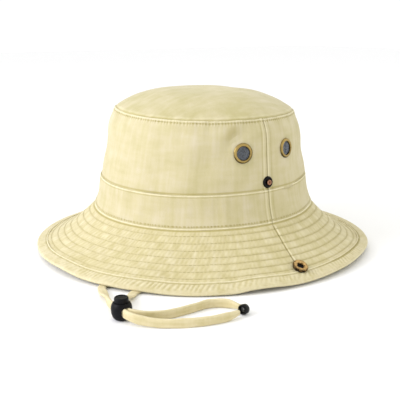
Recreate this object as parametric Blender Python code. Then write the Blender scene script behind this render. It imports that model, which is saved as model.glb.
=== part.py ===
"""A wide brim bucket hat of quilted cotton, resting on a table with its chin cord laid beside it.

Metres, +Z up. The front faces -Y and the wearer's left is +X. The origin is on the table, under the
middle of the brim's outline. Angles go round the hat from the front (0 degrees) by the left (90).
"""

from math import cos, pi, radians, sin

import bmesh
import bpy
from mathutils import Matrix, Vector

# Clearance between pieces that touch
GAP = 0.0003

# Crown, measured on the outside of its cloth
HEAD_LENGTH = 0.1900
HEAD_WIDTH = 0.1786
JOINT_HEIGHT = 0.0334
CROWN_HEIGHT = 0.0821
DOME_HEIGHT = 0.0145
DOME_ROUNDNESS = 2.3
SIDE_CLOTH = 0.0014
TOP_CLOTH = 0.0014
TOP_TURNING = 0.0070
# Columns: share of the crown's height, share of the head's length, share of the head's width
CROWN_SHARES = (
    (0.000, 1.000, 1.000),
    (0.100, 0.968, 0.968),
    (0.315, 0.938, 0.938),
    (0.540, 0.898, 0.924),
    (0.750, 0.861, 0.912),
    (0.850, 0.836, 0.897),
    (0.930, 0.805, 0.874),
    (1.000, 0.777, 0.852),
)

# Band round the foot of the crown
BAND_HEIGHT = 0.0259
BAND_CLOTH = 0.0010

# Brim, measured level from the band to the rim, with a seam on each side
BRIM_SEAM_ANGLE = 88.0
BRIM_WIDTH = 0.0494
BRIM_CLOTH = 0.0022
BRIM_BOW = 0.30
BRIM_TURNING = 0.0080
TURNING_CLOTH = 0.0011
RIM_MIDDLE = 0.0014
RIM_WAVE = 0.0022
FLAT_SHARE = 0.9
FIRST_STITCH_ROW = 0.0040
STITCH_ROW_SPACING = 0.0055
STITCH_DEPTH = 0.0003

# Binding folded over the rim
BINDING_WIDTH = 0.0095
BINDING_CLOTH = 0.0010
BOUND_EDGE_CLOTH = 0.0012
REST_NEAR = 0.0008
REST_FAR = 0.0026

# Rim raised where the chin cord comes out from under it
CORD_LIFT_ANGLE = 29.5
CORD_LIFT_HALF = 18.0
CORD_LIFT_EASE = 9.0

# Eyelets, two on each side, raised above the brim's joint
EYELETS_MIDDLE = 91.5
EYELET_RISE = 0.0556
EYELET_ANGLE = 15.5
EYELET_FLANGE = 0.0157
EYELET_BARREL = 0.0132
EYELET_MOUTH = 0.0106
EYELET_LIP = 0.0011
MESH_DIAMETER = 0.0116
MESH_THICKNESS = 0.0006

# Snaps: a stud just above the band on each side and a socket set in from the rim
SNAP_POST = 0.0036
SNAP_BACK = 0.0090
SNAP_BACK_THICKNESS = 0.0010
STUD_CLEARANCE = 0.0007
STUD_DIAMETER = 0.0100
STUD_RIM = 0.0015
STUD_NIB = 0.0042
STUD_NIB_HEIGHT = 0.0026
SOCKET_INSET = 0.0122
SOCKET_DIAMETER = 0.0120
SOCKET_THICKNESS = 0.0017
SOCKET_MOUTH = 0.0046
SOCKET_DEPTH = 0.0011

# Cord lock, with its cord hole along X
LOCK_PLACE = (0.1125, -0.1489)
LOCK_FOOT = 0.0001
LOCK_DIAMETER = 0.0140
LOCK_HEIGHT = 0.0120
LOCK_FLOOR = 0.0011
LOCK_ROUNDING = 0.0034
CORD_LEVEL = 0.0064
CORD_HOLE_WIDTH = 0.0062
CORD_HOLE_HEIGHT = 0.0068
PLUNGER_DIAMETER = 0.0095
PLUNGER_TRAVEL = 0.0020
PLUNGER_REACH = 0.0035
PLUNGER_ROUNDING = 0.0009
PLUNGER_FOOT = 0.0012

# Chin cord, both strands through the lock and into one end bead
CORD_DIAMETER = 0.0024
CORD_STEP = 0.0090
BEAD_PLACE = (0.1526, -0.0802)
BEAD_DIAMETER = 0.0068
BEAD_HEIGHT = 0.0070
CORD_LEFT = (
    (0.0808, 0.0060, 0.0450),
    (0.0808, 0.0030, 0.0280),
    (0.0820, -0.0060, 0.0110),
    (0.0845, -0.0240, 0.0020),
    (0.0850, -0.0500, 0.00125),
    (0.0790, -0.0760, 0.00125),
    (0.0745, -0.0990, 0.00125),
    (0.0796, -0.1186, 0.00125),
    (0.0858, -0.1262, 0.0020),
    (0.0920, -0.1345, 0.0040),
    (0.0970, -0.1420, 0.0060),
    (0.1014, -0.1462, 0.0064),
    (0.1060, -0.14745, 0.0064),
    (0.1190, -0.14745, 0.0064),
    (0.1232, -0.1454, 0.0062),
    (0.1263, -0.1404, 0.0052),
    (0.1283, -0.1325, 0.0040),
    (0.1305, -0.1200, 0.0032),
    (0.1310, -0.1038, 0.0032),
    (0.1308, -0.0942, 0.0032),
    (0.1338, -0.0868, 0.0032),
    (0.1400, -0.0812, 0.0033),
    (0.1488, -0.0795, 0.0035),
)
CORD_RIGHT = (
    (-0.0808, -0.0040, 0.0450),
    (-0.0808, -0.0080, 0.0270),
    (-0.0800, -0.0180, 0.0100),
    (-0.0730, -0.0330, 0.0020),
    (-0.0540, -0.0520, 0.00125),
    (-0.0270, -0.0650, 0.00125),
    (0.0020, -0.0770, 0.00125),
    (0.0270, -0.0950, 0.00125),
    (0.0430, -0.1160, 0.00125),
    (0.0568, -0.1328, 0.00125),
    (0.0680, -0.1385, 0.0022),
    (0.0843, -0.1446, 0.0044),
    (0.0940, -0.1484, 0.0060),
    (0.1010, -0.1502, 0.0064),
    (0.1060, -0.15035, 0.0064),
    (0.1190, -0.15035, 0.0064),
    (0.1245, -0.1494, 0.0060),
    (0.1305, -0.1456, 0.0048),
    (0.1390, -0.1362, 0.0033),
    (0.1470, -0.1244, 0.0032),
    (0.1530, -0.1108, 0.0032),
    (0.1560, -0.0960, 0.0032),
    (0.1549, -0.0860, 0.0034),
)

# Facets
AROUND = 44
FINE_AROUND = 16
TINY_AROUND = 12

# Materials: sRGB colour, roughness, metallic
CLOTH = ((238, 226, 172), 0.92, 0.0)
BRASS = ((140, 116, 78), 0.42, 1.0)
MESH_WIRE = ((112, 116, 122), 0.45, 0.8)
STUD_BLACK = ((38, 30, 28), 0.25, 0.3)
LOCK_BLACK = ((28, 28, 30), 0.55, 0.0)
BEAD_BLACK = ((18, 18, 20), 0.18, 0.0)

# Sizes worked out from those above
BASE_LENGTH = HEAD_LENGTH / 2
BASE_WIDTH = HEAD_WIDTH / 2
TOP_HEIGHT = JOINT_HEIGHT + CROWN_HEIGHT
SIDE_TOP = TOP_HEIGHT - TOP_CLOTH - GAP
EYELET_HEIGHT = JOINT_HEIGHT + EYELET_RISE
STUD_HEIGHT = JOINT_HEIGHT + BAND_HEIGHT + STUD_CLEARANCE + STUD_DIAMETER / 2
SOCKET_REACH = BRIM_WIDTH - SOCKET_INSET
BAND_OUTSIDE = GAP + BAND_CLOTH
TUCK = SIDE_CLOTH + GAP
RIM = BAND_OUTSIDE + BRIM_WIDTH
SHELF = JOINT_HEIGHT - GAP
BRIM_DROP = SHELF - BRIM_CLOTH / 2 - RIM_MIDDLE
BINDING_HOLLOW = BOUND_EDGE_CLOTH / 2 + GAP
BINDING_OUTSIDE = BINDING_HOLLOW + BINDING_CLOTH
BINDING_STEP = BINDING_OUTSIDE - BRIM_CLOTH / 2
BINDING_LIP = BRIM_WIDTH - BINDING_WIDTH
CORD_RISE = CORD_DIAMETER + 1.5 * GAP
QUILT_END = BINDING_LIP - GAP


def linear(channel):
    """One sRGB channel, 0 to 255, as linear light."""
    share = channel / 255
    if share <= 0.04045:
        return share / 12.92
    return ((share + 0.055) / 1.055) ** 2.4


def new_object(name, mesh, look):
    """An object of this name in the scene, with a Principled material of its own."""
    colour, roughness, metallic = look
    material = bpy.data.materials.new(name)
    material.use_nodes = True
    shader = material.node_tree.nodes["Principled BSDF"]
    shader.inputs["Base Color"].default_value = (*[linear(channel) for channel in colour], 1)
    shader.inputs["Roughness"].default_value = roughness
    shader.inputs["Metallic"].default_value = metallic
    mesh.materials.append(material)
    made = bpy.data.objects.new(name, mesh)
    bpy.context.scene.collection.objects.link(made)
    return made


def finished_mesh(name, bm, sharp_degrees=40):
    """The mesh of a closed bmesh, with its faces outward and its round sides smooth."""
    bmesh.ops.recalc_face_normals(bm, faces=bm.faces)
    mesh = bpy.data.meshes.new(name)
    bm.to_mesh(mesh)
    bm.free()
    mesh.shade_smooth()
    mesh.set_sharp_from_angle(angle=radians(sharp_degrees))
    return mesh


def between(columns, share):
    """The columns after the first one, where the first one has this share."""
    lower = columns[0]
    for upper in columns[1:]:
        if share <= upper[0]:
            break
        lower = upper
    part = min(max((share - lower[0]) / (upper[0] - lower[0]), 0), 1) if upper is not lower else 1
    return [low + (high - low) * part for low, high in zip(lower[1:], upper[1:])]


def on_crown(angle, height, outward=0.0):
    """A point of the crown's outside at this height, moved level away from the middle."""
    share = min(max((height - JOINT_HEIGHT) / CROWN_HEIGHT, 0), 1)
    length_share, width_share = between(CROWN_SHARES, share)
    turn = radians(angle)
    along = BASE_LENGTH * length_share + outward
    across = BASE_WIDTH * width_share + outward
    return Vector((across * sin(turn), -along * cos(turn), height))


def ease(share):
    """A smooth step from 0 to 1."""
    share = min(max(share, 0), 1)
    return share * share * (3 - 2 * share)


def rim_lift(angle):
    """How far the rim rises above its four resting arcs."""
    wave = max(0, cos(radians(4 * angle)) + FLAT_SHARE) / (1 + FLAT_SHARE) * RIM_WAVE
    off = abs((angle - CORD_LIFT_ANGLE + 180) % 360 - 180)
    near_cord = ease((CORD_LIFT_HALF - off) / CORD_LIFT_EASE)
    return wave + (CORD_RISE - wave) * near_cord


def brim_slope(reach):
    """Fall of the brim's middle layer for each metre outward."""
    share = reach / BRIM_WIDTH
    return BRIM_DROP / BRIM_WIDTH * (1 + BRIM_BOW * (1 - 2 * share))


def brim_point(reach, offset):
    """(outward, height, share) of a point this far from the band, offset from the middle layer."""
    share = reach / BRIM_WIDTH
    fall = share + BRIM_BOW * share * (1 - share)
    slope = brim_slope(reach)
    long_side = (1 + slope * slope) ** 0.5
    outward = BAND_OUTSIDE + reach + offset * slope / long_side
    height = RIM_MIDDLE + BRIM_DROP * (1 - fall) + offset / long_side
    return outward, height, max(share, 0)


def on_brim(angle, point):
    """A section point of the brim in the hat's space, with the rim's wave."""
    outward, height, share = point
    turn = radians(angle)
    raised = height + rim_lift(angle) * share * share
    return Vector(((BASE_WIDTH + outward) * sin(turn), -(BASE_LENGTH + outward) * cos(turn), raised))


def ring_angles(start, end):
    """The hat's common facet angles from start to end, with the two ends themselves."""
    facet = 360 / AROUND
    common = [facet * number for number in range(-AROUND, 2 * AROUND)]
    return [start] + [angle for angle in common if start < angle < end] + [end]


def swept(name, look, section, start=0.0, end=360.0):
    """A solid whose closed section goes round the hat from one angle to another."""
    closed = end - start >= 360
    angles = ring_angles(start, end)
    if closed:
        angles.pop()
    bm = bmesh.new()
    rings = []
    for angle in angles:
        rings.append([bm.verts.new(point) for point in section(angle)])
    pairs = list(zip(rings, rings[1:]))
    if closed:
        pairs.append((rings[-1], rings[0]))
    else:
        bm.faces.new(rings[0])
        bm.faces.new(rings[-1])
    for ring, after in pairs:
        for place, corner in enumerate(ring):
            bm.faces.new((ring[place - 1], corner, after[place], after[place - 1]))
    return new_object(name, finished_mesh(name, bm), look)


def turned(name, look, profile, around):
    """A solid turned about Z from (radius, height) points; it may start and end on the axis."""
    bm = bmesh.new()
    verts = [bm.verts.new((radius, 0, height)) for radius, height in profile]
    edges = [bm.edges.new(pair) for pair in zip(verts, verts[1:])]
    if profile[0][0] > 0:
        edges.append(bm.edges.new((verts[-1], verts[0])))
    bmesh.ops.spin(bm, geom=verts + edges, axis=(0, 0, 1), cent=(0, 0, 0), angle=2 * pi,
                   steps=around, use_merge=True)
    bmesh.ops.remove_doubles(bm, verts=bm.verts, dist=0.00001)
    return new_object(name, finished_mesh(name, bm, 30), look)


def cutter(name, mesh):
    """A helper object that only cuts others."""
    helper = bpy.data.objects.new(name, mesh)
    helper.hide_render = True
    helper.display_type = "WIRE"
    bpy.context.scene.collection.objects.link(helper)
    return helper


def round_cutter(name, diameter, depth, place):
    """A cylinder that drills along its own Z, both ways from its place."""
    bm = bmesh.new()
    bmesh.ops.create_cone(bm, cap_ends=True, segments=FINE_AROUND, radius1=diameter / 2,
                          radius2=diameter / 2, depth=depth)
    helper = cutter(name, finished_mesh(name, bm))
    helper.matrix_world = place
    return helper


def cut(target, helper):
    """Takes the helper's shape out of the target."""
    modifier = target.modifiers.new(helper.name, "BOOLEAN")
    modifier.operation = "DIFFERENCE"
    modifier.object = helper


def facing(origin, outward, upward):
    """A matrix at a point whose Z looks along the outward direction and Y along the upward one."""
    level = upward.cross(outward).normalized()
    rotation = Matrix((level, outward.cross(level), outward)).transposed()
    return Matrix.Translation(origin) @ rotation.to_4x4()


def crown_place(angle, height):
    """Where a fitting sits on the crown, facing straight out of its cloth."""
    nearby = 0.002
    point = on_crown(angle, height)
    upward = (on_crown(angle, height + nearby) - on_crown(angle, height - nearby)).normalized()
    along = (on_crown(angle + 1, height) - on_crown(angle - 1, height)).normalized()
    return facing(point, along.cross(upward).normalized(), upward)


def brim_place(angle, reach):
    """Where a fitting sits on top of the brim, facing straight out of its cloth."""
    nearby = 0.002
    point = on_brim(angle, brim_point(reach, BRIM_CLOTH / 2))
    inner = on_brim(angle, brim_point(reach - nearby, BRIM_CLOTH / 2))
    outer = on_brim(angle, brim_point(reach + nearby, BRIM_CLOTH / 2))
    upward = (inner - outer).normalized()
    before = on_brim(angle - 1, brim_point(reach, BRIM_CLOTH / 2))
    after = on_brim(angle + 1, brim_point(reach, BRIM_CLOTH / 2))
    return facing(point, (after - before).cross(upward).normalized(), upward)


def crown_top():
    """The domed top panel, with its edge turned down inside the side panels."""
    shares = (1.0, 0.88, 0.68, 0.44, 0.20)
    bm = bmesh.new()

    def ring(points):
        return [bm.verts.new(point) for point in points]

    def dome_ring(share, outward, lower):
        points = []
        for step in range(AROUND):
            edge = on_crown(360 * step / AROUND, TOP_HEIGHT, outward)
            rise = DOME_HEIGHT * (1 - share ** DOME_ROUNDNESS)
            points.append((edge.x * share, edge.y * share, edge.z + rise - lower))
        return ring(points)

    def turning_ring(outward, depth):
        heights = TOP_HEIGHT - TOP_CLOTH - depth
        return ring(on_crown(360 * step / AROUND, heights, outward) for step in range(AROUND))

    outside = [dome_ring(share, 0, 0) for share in shares]
    inside = [dome_ring(share, -TUCK - TOP_CLOTH, TOP_CLOTH) for share in shares[::2]]
    edge = [turning_ring(0, 0), turning_ring(-TUCK, 0), turning_ring(-TUCK, TOP_TURNING),
            turning_ring(-TUCK - TOP_CLOTH, TOP_TURNING)]
    rings = outside[::-1] + edge + inside
    for first, second in zip(rings, rings[1:]):
        for place, corner in enumerate(first):
            bm.faces.new((first[place - 1], corner, second[place], second[place - 1]))
    for last, height in ((outside[-1], 0), (inside[-1], TOP_CLOTH)):
        middle = bm.verts.new((0, 0, TOP_HEIGHT + DOME_HEIGHT - height))
        for place, corner in enumerate(last):
            bm.faces.new((last[place - 1], corner, middle))
    return new_object("crown_top", finished_mesh("crown_top", bm), CLOTH)


def crown_heights(low, high):
    """Two heights, and those of the crown's table between them."""
    table = [JOINT_HEIGHT + row[0] * CROWN_HEIGHT for row in CROWN_SHARES]
    return [low] + [height for height in table if low + GAP < height < high - GAP] + [high]


def wall_section(angle, low, high, outside, inside):
    """Section of a cloth wall that follows the crown: up its outside and down its inside."""
    heights = crown_heights(low, high)
    up = [on_crown(angle, height, outside) for height in heights]
    down = [on_crown(angle, height, inside) for height in reversed(heights)]
    return up + down


def crown_side_section(angle):
    """Section of the side panel."""
    return wall_section(angle, JOINT_HEIGHT, SIDE_TOP, 0, -SIDE_CLOTH)


def band_section(angle):
    """Section of the band."""
    return wall_section(angle, JOINT_HEIGHT, JOINT_HEIGHT + BAND_HEIGHT, BAND_OUTSIDE, GAP)


def stitched_top():
    """Points along the brim's top: a dip at each stitch row and a swell between the rows."""
    surface = BRIM_CLOTH / 2
    points = []
    row = FIRST_STITCH_ROW
    while row < QUILT_END - STITCH_ROW_SPACING / 3:
        points.append(brim_point(row, surface - STITCH_DEPTH))
        swell = row + STITCH_ROW_SPACING / 2
        if swell < QUILT_END - STITCH_ROW_SPACING / 3:
            points.append(brim_point(swell, surface))
        row += STITCH_ROW_SPACING
    points.append(brim_point(QUILT_END, surface))
    return points


def brim_section(angle):
    """Section of the brim: its turned-up inner edge, quilted top, bound rim and underside."""
    bound_end = BRIM_WIDTH - BINDING_CLOTH - GAP
    turning_top = JOINT_HEIGHT + BRIM_TURNING
    turned_up = [
        on_crown(angle, turning_top, -TUCK),
        on_crown(angle, SHELF, -TUCK),
        on_crown(angle, SHELF, BAND_OUTSIDE),
    ]
    bound = [
        brim_point(QUILT_END, BOUND_EDGE_CLOTH / 2),
        brim_point(bound_end, BOUND_EDGE_CLOTH / 2),
        brim_point(bound_end, -BOUND_EDGE_CLOTH / 2),
        brim_point(QUILT_END, -BOUND_EDGE_CLOTH / 2),
    ]
    below = [brim_point(QUILT_END * share, -BRIM_CLOTH / 2) for share in (1, 0.5, 0)]
    inner = [
        on_crown(angle, SHELF - BRIM_CLOTH, -TUCK),
        on_crown(angle, SHELF, -TUCK - TURNING_CLOTH),
        on_crown(angle, turning_top, -TUCK - TURNING_CLOTH),
    ]
    sheet = [on_brim(angle, point) for point in stitched_top() + bound + below]
    return turned_up + sheet + inner


def binding_section(angle):
    """Section of the binding: over the top, round the rim and back below, then its hollow."""
    hollow_end = BRIM_WIDTH - BINDING_CLOTH
    flat_start = BRIM_WIDTH - REST_FAR
    upper = [brim_point(reach, BINDING_OUTSIDE) for reach in (BINDING_LIP, flat_start)]
    rounded = [(RIM, RIM_MIDDLE + BINDING_HOLLOW, 1), (RIM, RIM_MIDDLE - BINDING_HOLLOW / 2, 1)]
    rest = [(RIM - REST_NEAR, 0, 1), (RIM - REST_FAR, 0, 1)]
    hollow = [
        brim_point(BINDING_LIP, -BINDING_OUTSIDE),
        brim_point(BINDING_LIP, -BINDING_HOLLOW),
        brim_point(hollow_end, -BINDING_HOLLOW),
        brim_point(hollow_end, BINDING_HOLLOW),
        brim_point(BINDING_LIP, BINDING_HOLLOW),
    ]
    return [on_brim(angle, point) for point in upper + rounded + rest + hollow]


def halves(name, section, seam_angle=90.0):
    """Front and back pieces of a section, which meet at the side seams."""
    half_gap = 360 * GAP / 2 / (pi * HEAD_WIDTH)
    front_end = seam_angle - half_gap
    back_end = seam_angle + half_gap
    front = swept(f"{name}_front", CLOTH, section, -front_end, front_end)
    back = swept(f"{name}_back", CLOTH, section, back_end, 360 - back_end)
    return front, back


def eyelet(name, place):
    """A rolled ring through the cloth, with flanges outside and inside and a groove for its mesh."""
    flange = EYELET_FLANGE / 2
    barrel = EYELET_BARREL / 2 - GAP
    mouth = EYELET_MOUTH / 2
    groove = MESH_DIAMETER / 2 + GAP
    inside = -SIDE_CLOTH - 2 * GAP
    mesh_level = -SIDE_CLOTH / 2
    half_groove = MESH_THICKNESS / 2 + GAP
    profile = [
        (mouth, EYELET_LIP),
        (mouth, mesh_level + half_groove),
        (groove, mesh_level + half_groove),
        (groove, mesh_level - half_groove),
        (mouth, mesh_level - half_groove),
        (mouth, inside - EYELET_LIP),
        (flange - EYELET_LIP, inside - EYELET_LIP),
        (flange - EYELET_LIP / 2, inside),
        (barrel, inside),
        (barrel, 2 * GAP),
        (flange, 2 * GAP),
        (flange - EYELET_LIP / 2, EYELET_LIP * 1.3),
    ]
    ring = turned(f"{name}_ring", BRASS, profile, FINE_AROUND)
    ring.matrix_world = place
    disc = [
        (0, mesh_level + MESH_THICKNESS / 2),
        (MESH_DIAMETER / 2, mesh_level + MESH_THICKNESS / 2),
        (MESH_DIAMETER / 2, mesh_level - MESH_THICKNESS / 2),
        (0, mesh_level - MESH_THICKNESS / 2),
    ]
    wire = turned(f"{name}_mesh", MESH_WIRE, disc, FINE_AROUND)
    wire.matrix_world = place


def snap_back(cloth):
    """Profile of a snap's post through cloth of this thickness and of its cap behind."""
    behind = -cloth - GAP
    return [
        (SNAP_POST / 2, behind),
        (SNAP_BACK / 2, behind),
        (SNAP_BACK / 2, behind - SNAP_BACK_THICKNESS / 2),
        (SNAP_BACK / 2 - SNAP_BACK_THICKNESS / 2, behind - SNAP_BACK_THICKNESS),
        (0, behind - SNAP_BACK_THICKNESS),
    ]


def snap_stud(name, place):
    """The crown's snap half: a raised ring with a round nib, riveted through the cloth."""
    rim = STUD_DIAMETER / 2
    nib = STUD_NIB / 2
    foot = 2 * GAP
    profile = [
        (0, foot + STUD_NIB_HEIGHT),
        (nib * 0.75, foot + STUD_NIB_HEIGHT - nib * 0.15),
        (nib, foot + STUD_NIB_HEIGHT - nib * 0.6),
        (nib, foot + STUD_RIM / 2),
        (rim * 0.62, foot + STUD_RIM / 2),
        (rim * 0.72, foot + STUD_RIM),
        (rim * 0.90, foot + STUD_RIM),
        (rim, foot + STUD_RIM / 2),
        (rim, foot),
        (SNAP_POST / 2, foot),
    ]
    stud = turned(name, STUD_BLACK, profile + snap_back(SIDE_CLOTH + GAP), TINY_AROUND)
    stud.matrix_world = place


def snap_socket(name, place):
    """The brim's snap half: a disc with a mouth, riveted through the cloth beside the binding."""
    rim = SOCKET_DIAMETER / 2
    mouth = SOCKET_MOUTH / 2
    foot = BINDING_STEP + GAP
    profile = [
        (0, foot + SOCKET_THICKNESS - SOCKET_DEPTH),
        (mouth, foot + SOCKET_THICKNESS - SOCKET_DEPTH),
        (mouth, foot + SOCKET_THICKNESS),
        (rim - SOCKET_THICKNESS / 2, foot + SOCKET_THICKNESS),
        (rim, foot + SOCKET_THICKNESS / 2),
        (rim, foot),
        (SNAP_POST / 2, foot),
    ]
    socket = turned(name, BRASS, profile + snap_back(BRIM_CLOTH + BINDING_STEP), TINY_AROUND)
    socket.matrix_world = place


def lock_place():
    """Where the cord lock stands on the table."""
    return Matrix.Translation((LOCK_PLACE[0], LOCK_PLACE[1], LOCK_FOOT))


def slot_cutter(name, width, low, high):
    """A box along X that opens the cord's way through a piece of the lock."""
    bm = bmesh.new()
    bmesh.ops.create_cube(bm, size=1)
    scale = Matrix.Diagonal((2 * LOCK_DIAMETER, width, high - low, 1))
    bmesh.ops.transform(bm, matrix=scale, verts=bm.verts)
    long_edges = [edge for edge in bm.edges if abs(edge.verts[0].co.x - edge.verts[1].co.x) > GAP]
    bmesh.ops.bevel(bm, geom=long_edges, offset=width * 0.3, segments=3, profile=0.5,
                    affect="EDGES")
    helper = cutter(name, finished_mesh(name, bm))
    helper.matrix_world = lock_place() @ Matrix.Translation((0, 0, (low + high) / 2 - LOCK_FOOT))
    return helper


def lock_body():
    """The lock's barrel: a round shell, open on top for the plunger, with a cord hole through it."""
    radius = LOCK_DIAMETER / 2
    bore = PLUNGER_DIAMETER / 2 + GAP
    high = LOCK_HEIGHT
    profile = [
        (0, 0),
        (radius - LOCK_ROUNDING, 0),
        (radius - LOCK_ROUNDING * 0.3, LOCK_ROUNDING * 0.3),
        (radius, LOCK_ROUNDING),
        (radius, high - LOCK_ROUNDING),
        (radius - LOCK_ROUNDING * 0.18, high - LOCK_ROUNDING * 0.32),
        ((radius + bore) / 2, high),
        (bore, high),
        (bore, LOCK_FLOOR),
        (0, LOCK_FLOOR),
    ]
    body = turned("cord_lock_body", LOCK_BLACK, profile, FINE_AROUND)
    body.matrix_world = lock_place()
    low = CORD_LEVEL - CORD_HOLE_HEIGHT / 2
    cut(body, slot_cutter("cord_hole_cutter", CORD_HOLE_WIDTH, low, low + CORD_HOLE_HEIGHT))


def lock_plunger():
    """The lock's sprung button and stem, with a slot that leaves the cord room as it is pressed."""
    radius = PLUNGER_DIAMETER / 2
    slot_low = CORD_LEVEL - CORD_DIAMETER / 2 - GAP
    slot_high = CORD_LEVEL + CORD_DIAMETER / 2 + GAP + PLUNGER_TRAVEL
    foot = slot_low - PLUNGER_FOOT - LOCK_FOOT
    top = LOCK_HEIGHT + PLUNGER_REACH
    profile = [
        (0, foot),
        (radius, foot),
        (radius, top - PLUNGER_ROUNDING),
        (radius - PLUNGER_ROUNDING * 0.3, top - PLUNGER_ROUNDING * 0.3),
        (radius - PLUNGER_ROUNDING, top),
        (0, top),
    ]
    plunger = turned("cord_lock_plunger", LOCK_BLACK, profile, FINE_AROUND)
    plunger.matrix_world = lock_place()
    cut(plunger, slot_cutter("plunger_slot_cutter", CORD_HOLE_WIDTH, slot_low, slot_high))


def end_bead():
    """The bead that closes the cord's loop."""
    radius = BEAD_DIAMETER / 2
    middle = BEAD_HEIGHT / 2
    turns = 5
    profile = [(0, 0)]
    for step in range(1, turns):
        swing = pi * step / turns
        profile.append((radius * sin(swing), middle - middle * cos(swing)))
    profile.append((0, BEAD_HEIGHT))
    bead = turned("cord_end_bead", BEAD_BLACK, profile, TINY_AROUND)
    bead.matrix_world = Matrix.Translation((BEAD_PLACE[0], BEAD_PLACE[1], LOCK_FOOT))


def smooth_route(points, step):
    """Points about a step apart on a smooth curve that passes through all the given ones."""
    points = [Vector(point) for point in points]
    ends = [points[0] * 2 - points[1]] + points + [points[-1] * 2 - points[-2]]
    route = []
    for before, start, end, after in zip(ends, ends[1:], ends[2:], ends[3:]):
        parts = max(round((end - start).length / step), 1)
        for part in range(parts):
            share = part / parts
            route.append(0.5 * (2 * start + (end - before) * share
                                + (2 * before - 5 * start + 4 * end - after) * share ** 2
                                + (3 * start - before - 3 * end + after) * share ** 3))
    return route + [points[-1]]


def chin_cord(name, points):
    """One strand of the chin cord as a round tube along its route."""
    route = smooth_route(points, CORD_STEP)
    curve = bpy.data.curves.new(name, "CURVE")
    curve.dimensions = "3D"
    curve.bevel_depth = CORD_DIAMETER / 2
    curve.bevel_resolution = 2
    curve.use_fill_caps = True
    spline = curve.splines.new("POLY")
    spline.points.add(len(route) - 1)
    for knot, point in zip(spline.points, route):
        knot.co = (*point, 1)
    new_object(name, curve, CLOTH)


def build():
    """Clears the scene and models the hat."""
    for old in list(bpy.data.objects):
        bpy.data.objects.remove(old)
    crown_top()
    side_panels = halves("crown_side", crown_side_section)
    halves("band", band_section)
    brim_halves = halves("brim", brim_section, BRIM_SEAM_ANGLE)
    swept("brim_binding", CLOTH, binding_section)
    for side, way in (("left", 1), ("right", -1)):
        for end, turn, panel in (("front", -1, side_panels[0]), ("back", 1, side_panels[1])):
            place = crown_place(way * (EYELETS_MIDDLE + turn * EYELET_ANGLE), EYELET_HEIGHT)
            hole = f"eyelet_hole_{side}_{end}"
            cut(panel, round_cutter(hole, EYELET_BARREL, EYELET_FLANGE, place))
            eyelet(f"eyelet_{side}_{end}", place)
        stud_place = crown_place(way * 90, STUD_HEIGHT)
        post_hole = SNAP_POST + 2 * GAP
        stud_hole = round_cutter(f"stud_hole_{side}", post_hole, STUD_DIAMETER, stud_place)
        for panel in side_panels:
            cut(panel, stud_hole)
        snap_stud(f"crown_snap_stud_{side}", stud_place)
        socket_place = brim_place(way * BRIM_SEAM_ANGLE, SOCKET_REACH)
        socket_hole = round_cutter(f"socket_hole_{side}", post_hole, SOCKET_DIAMETER, socket_place)
        for panel in brim_halves:
            cut(panel, socket_hole)
        snap_socket(f"brim_snap_socket_{side}", socket_place)
    lock_body()
    lock_plunger()
    end_bead()
    chin_cord("chin_cord_left", CORD_LEFT)
    chin_cord("chin_cord_right", CORD_RIGHT)


build()
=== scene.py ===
"""The looks of a wide brim bucket hat of washed cotton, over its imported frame.

Metres, +Z up. The front faces -Y and the wearer's left is +X. Angles go round the hat from the front
(0 degrees) by the left (90). Cloth patterns are in millimetres along and across each piece.
"""

from contextlib import contextmanager
from math import cos, pi, radians, sin

import bmesh
import bpy
import numpy as np
from mathutils import Matrix, Vector


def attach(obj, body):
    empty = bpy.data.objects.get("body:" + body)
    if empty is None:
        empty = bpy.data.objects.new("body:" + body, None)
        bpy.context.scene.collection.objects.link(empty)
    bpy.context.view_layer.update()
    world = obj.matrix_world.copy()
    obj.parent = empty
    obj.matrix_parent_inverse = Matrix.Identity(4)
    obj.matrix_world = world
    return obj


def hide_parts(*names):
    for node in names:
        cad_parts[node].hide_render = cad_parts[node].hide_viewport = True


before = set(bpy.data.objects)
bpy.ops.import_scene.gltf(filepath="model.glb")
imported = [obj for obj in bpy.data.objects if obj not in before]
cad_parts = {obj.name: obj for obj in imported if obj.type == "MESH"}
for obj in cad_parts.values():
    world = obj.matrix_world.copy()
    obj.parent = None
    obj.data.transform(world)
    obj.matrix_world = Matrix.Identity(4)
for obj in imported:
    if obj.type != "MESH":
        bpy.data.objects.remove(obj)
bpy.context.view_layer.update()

MM = 0.001

# The hat's sizes, as in the part's source
BASE_LENGTH = 0.095
BASE_WIDTH = 0.0893
JOINT_HEIGHT = 0.0334
CROWN_HEIGHT = 0.0821
TOP_HEIGHT = JOINT_HEIGHT + CROWN_HEIGHT
DOME_HEIGHT = 0.0166
DOME_ROUNDNESS = 3
CROWN_TABLE = np.array((
    (0, 1, 1),
    (0.1, 0.968, 0.968),
    (0.315, 0.938, 0.938),
    (0.54, 0.898, 0.924),
    (0.75, 0.861, 0.912),
    (0.85, 0.836, 0.897),
    (0.93, 0.805, 0.874),
    (1, 0.777, 0.852),
))
BAND_TOP = JOINT_HEIGHT + 0.0259
BAND_OUTSIDE = 0.0013
BRIM_WIDTH = 0.0494
BRIM_DROP = 0.0306
BRIM_BOW = 0.3
RIM_MIDDLE = 0.0014
BINDING_LIP = 0.0399
BRIM_SEAM = 87.4
BRIM_HALF = 0.0011
FIRST_ROW = 0.004
ROW_PITCH = 0.0055
ROWS = [FIRST_ROW + ROW_PITCH * number for number in range(7)]

# Where the eyelets and studs are by angle and height, the fold above an eyelet in the millimetres of
# its panel, and the side seams by angle
EYELETS = ((75, 0.0898), (105.6, 0.0892))
STUD = (90, 0.065)
SOCKET_REACH = BRIM_WIDTH - 0.0122
HOLE = 0.0063
FOLD = (100.5, 8.5)
SIDES = (("left", 1), ("right", -1))
SEAMS = (-90, 90, 270)
SEAM_GAP = 0.1
BRIM_GAP = 0.08

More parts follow.
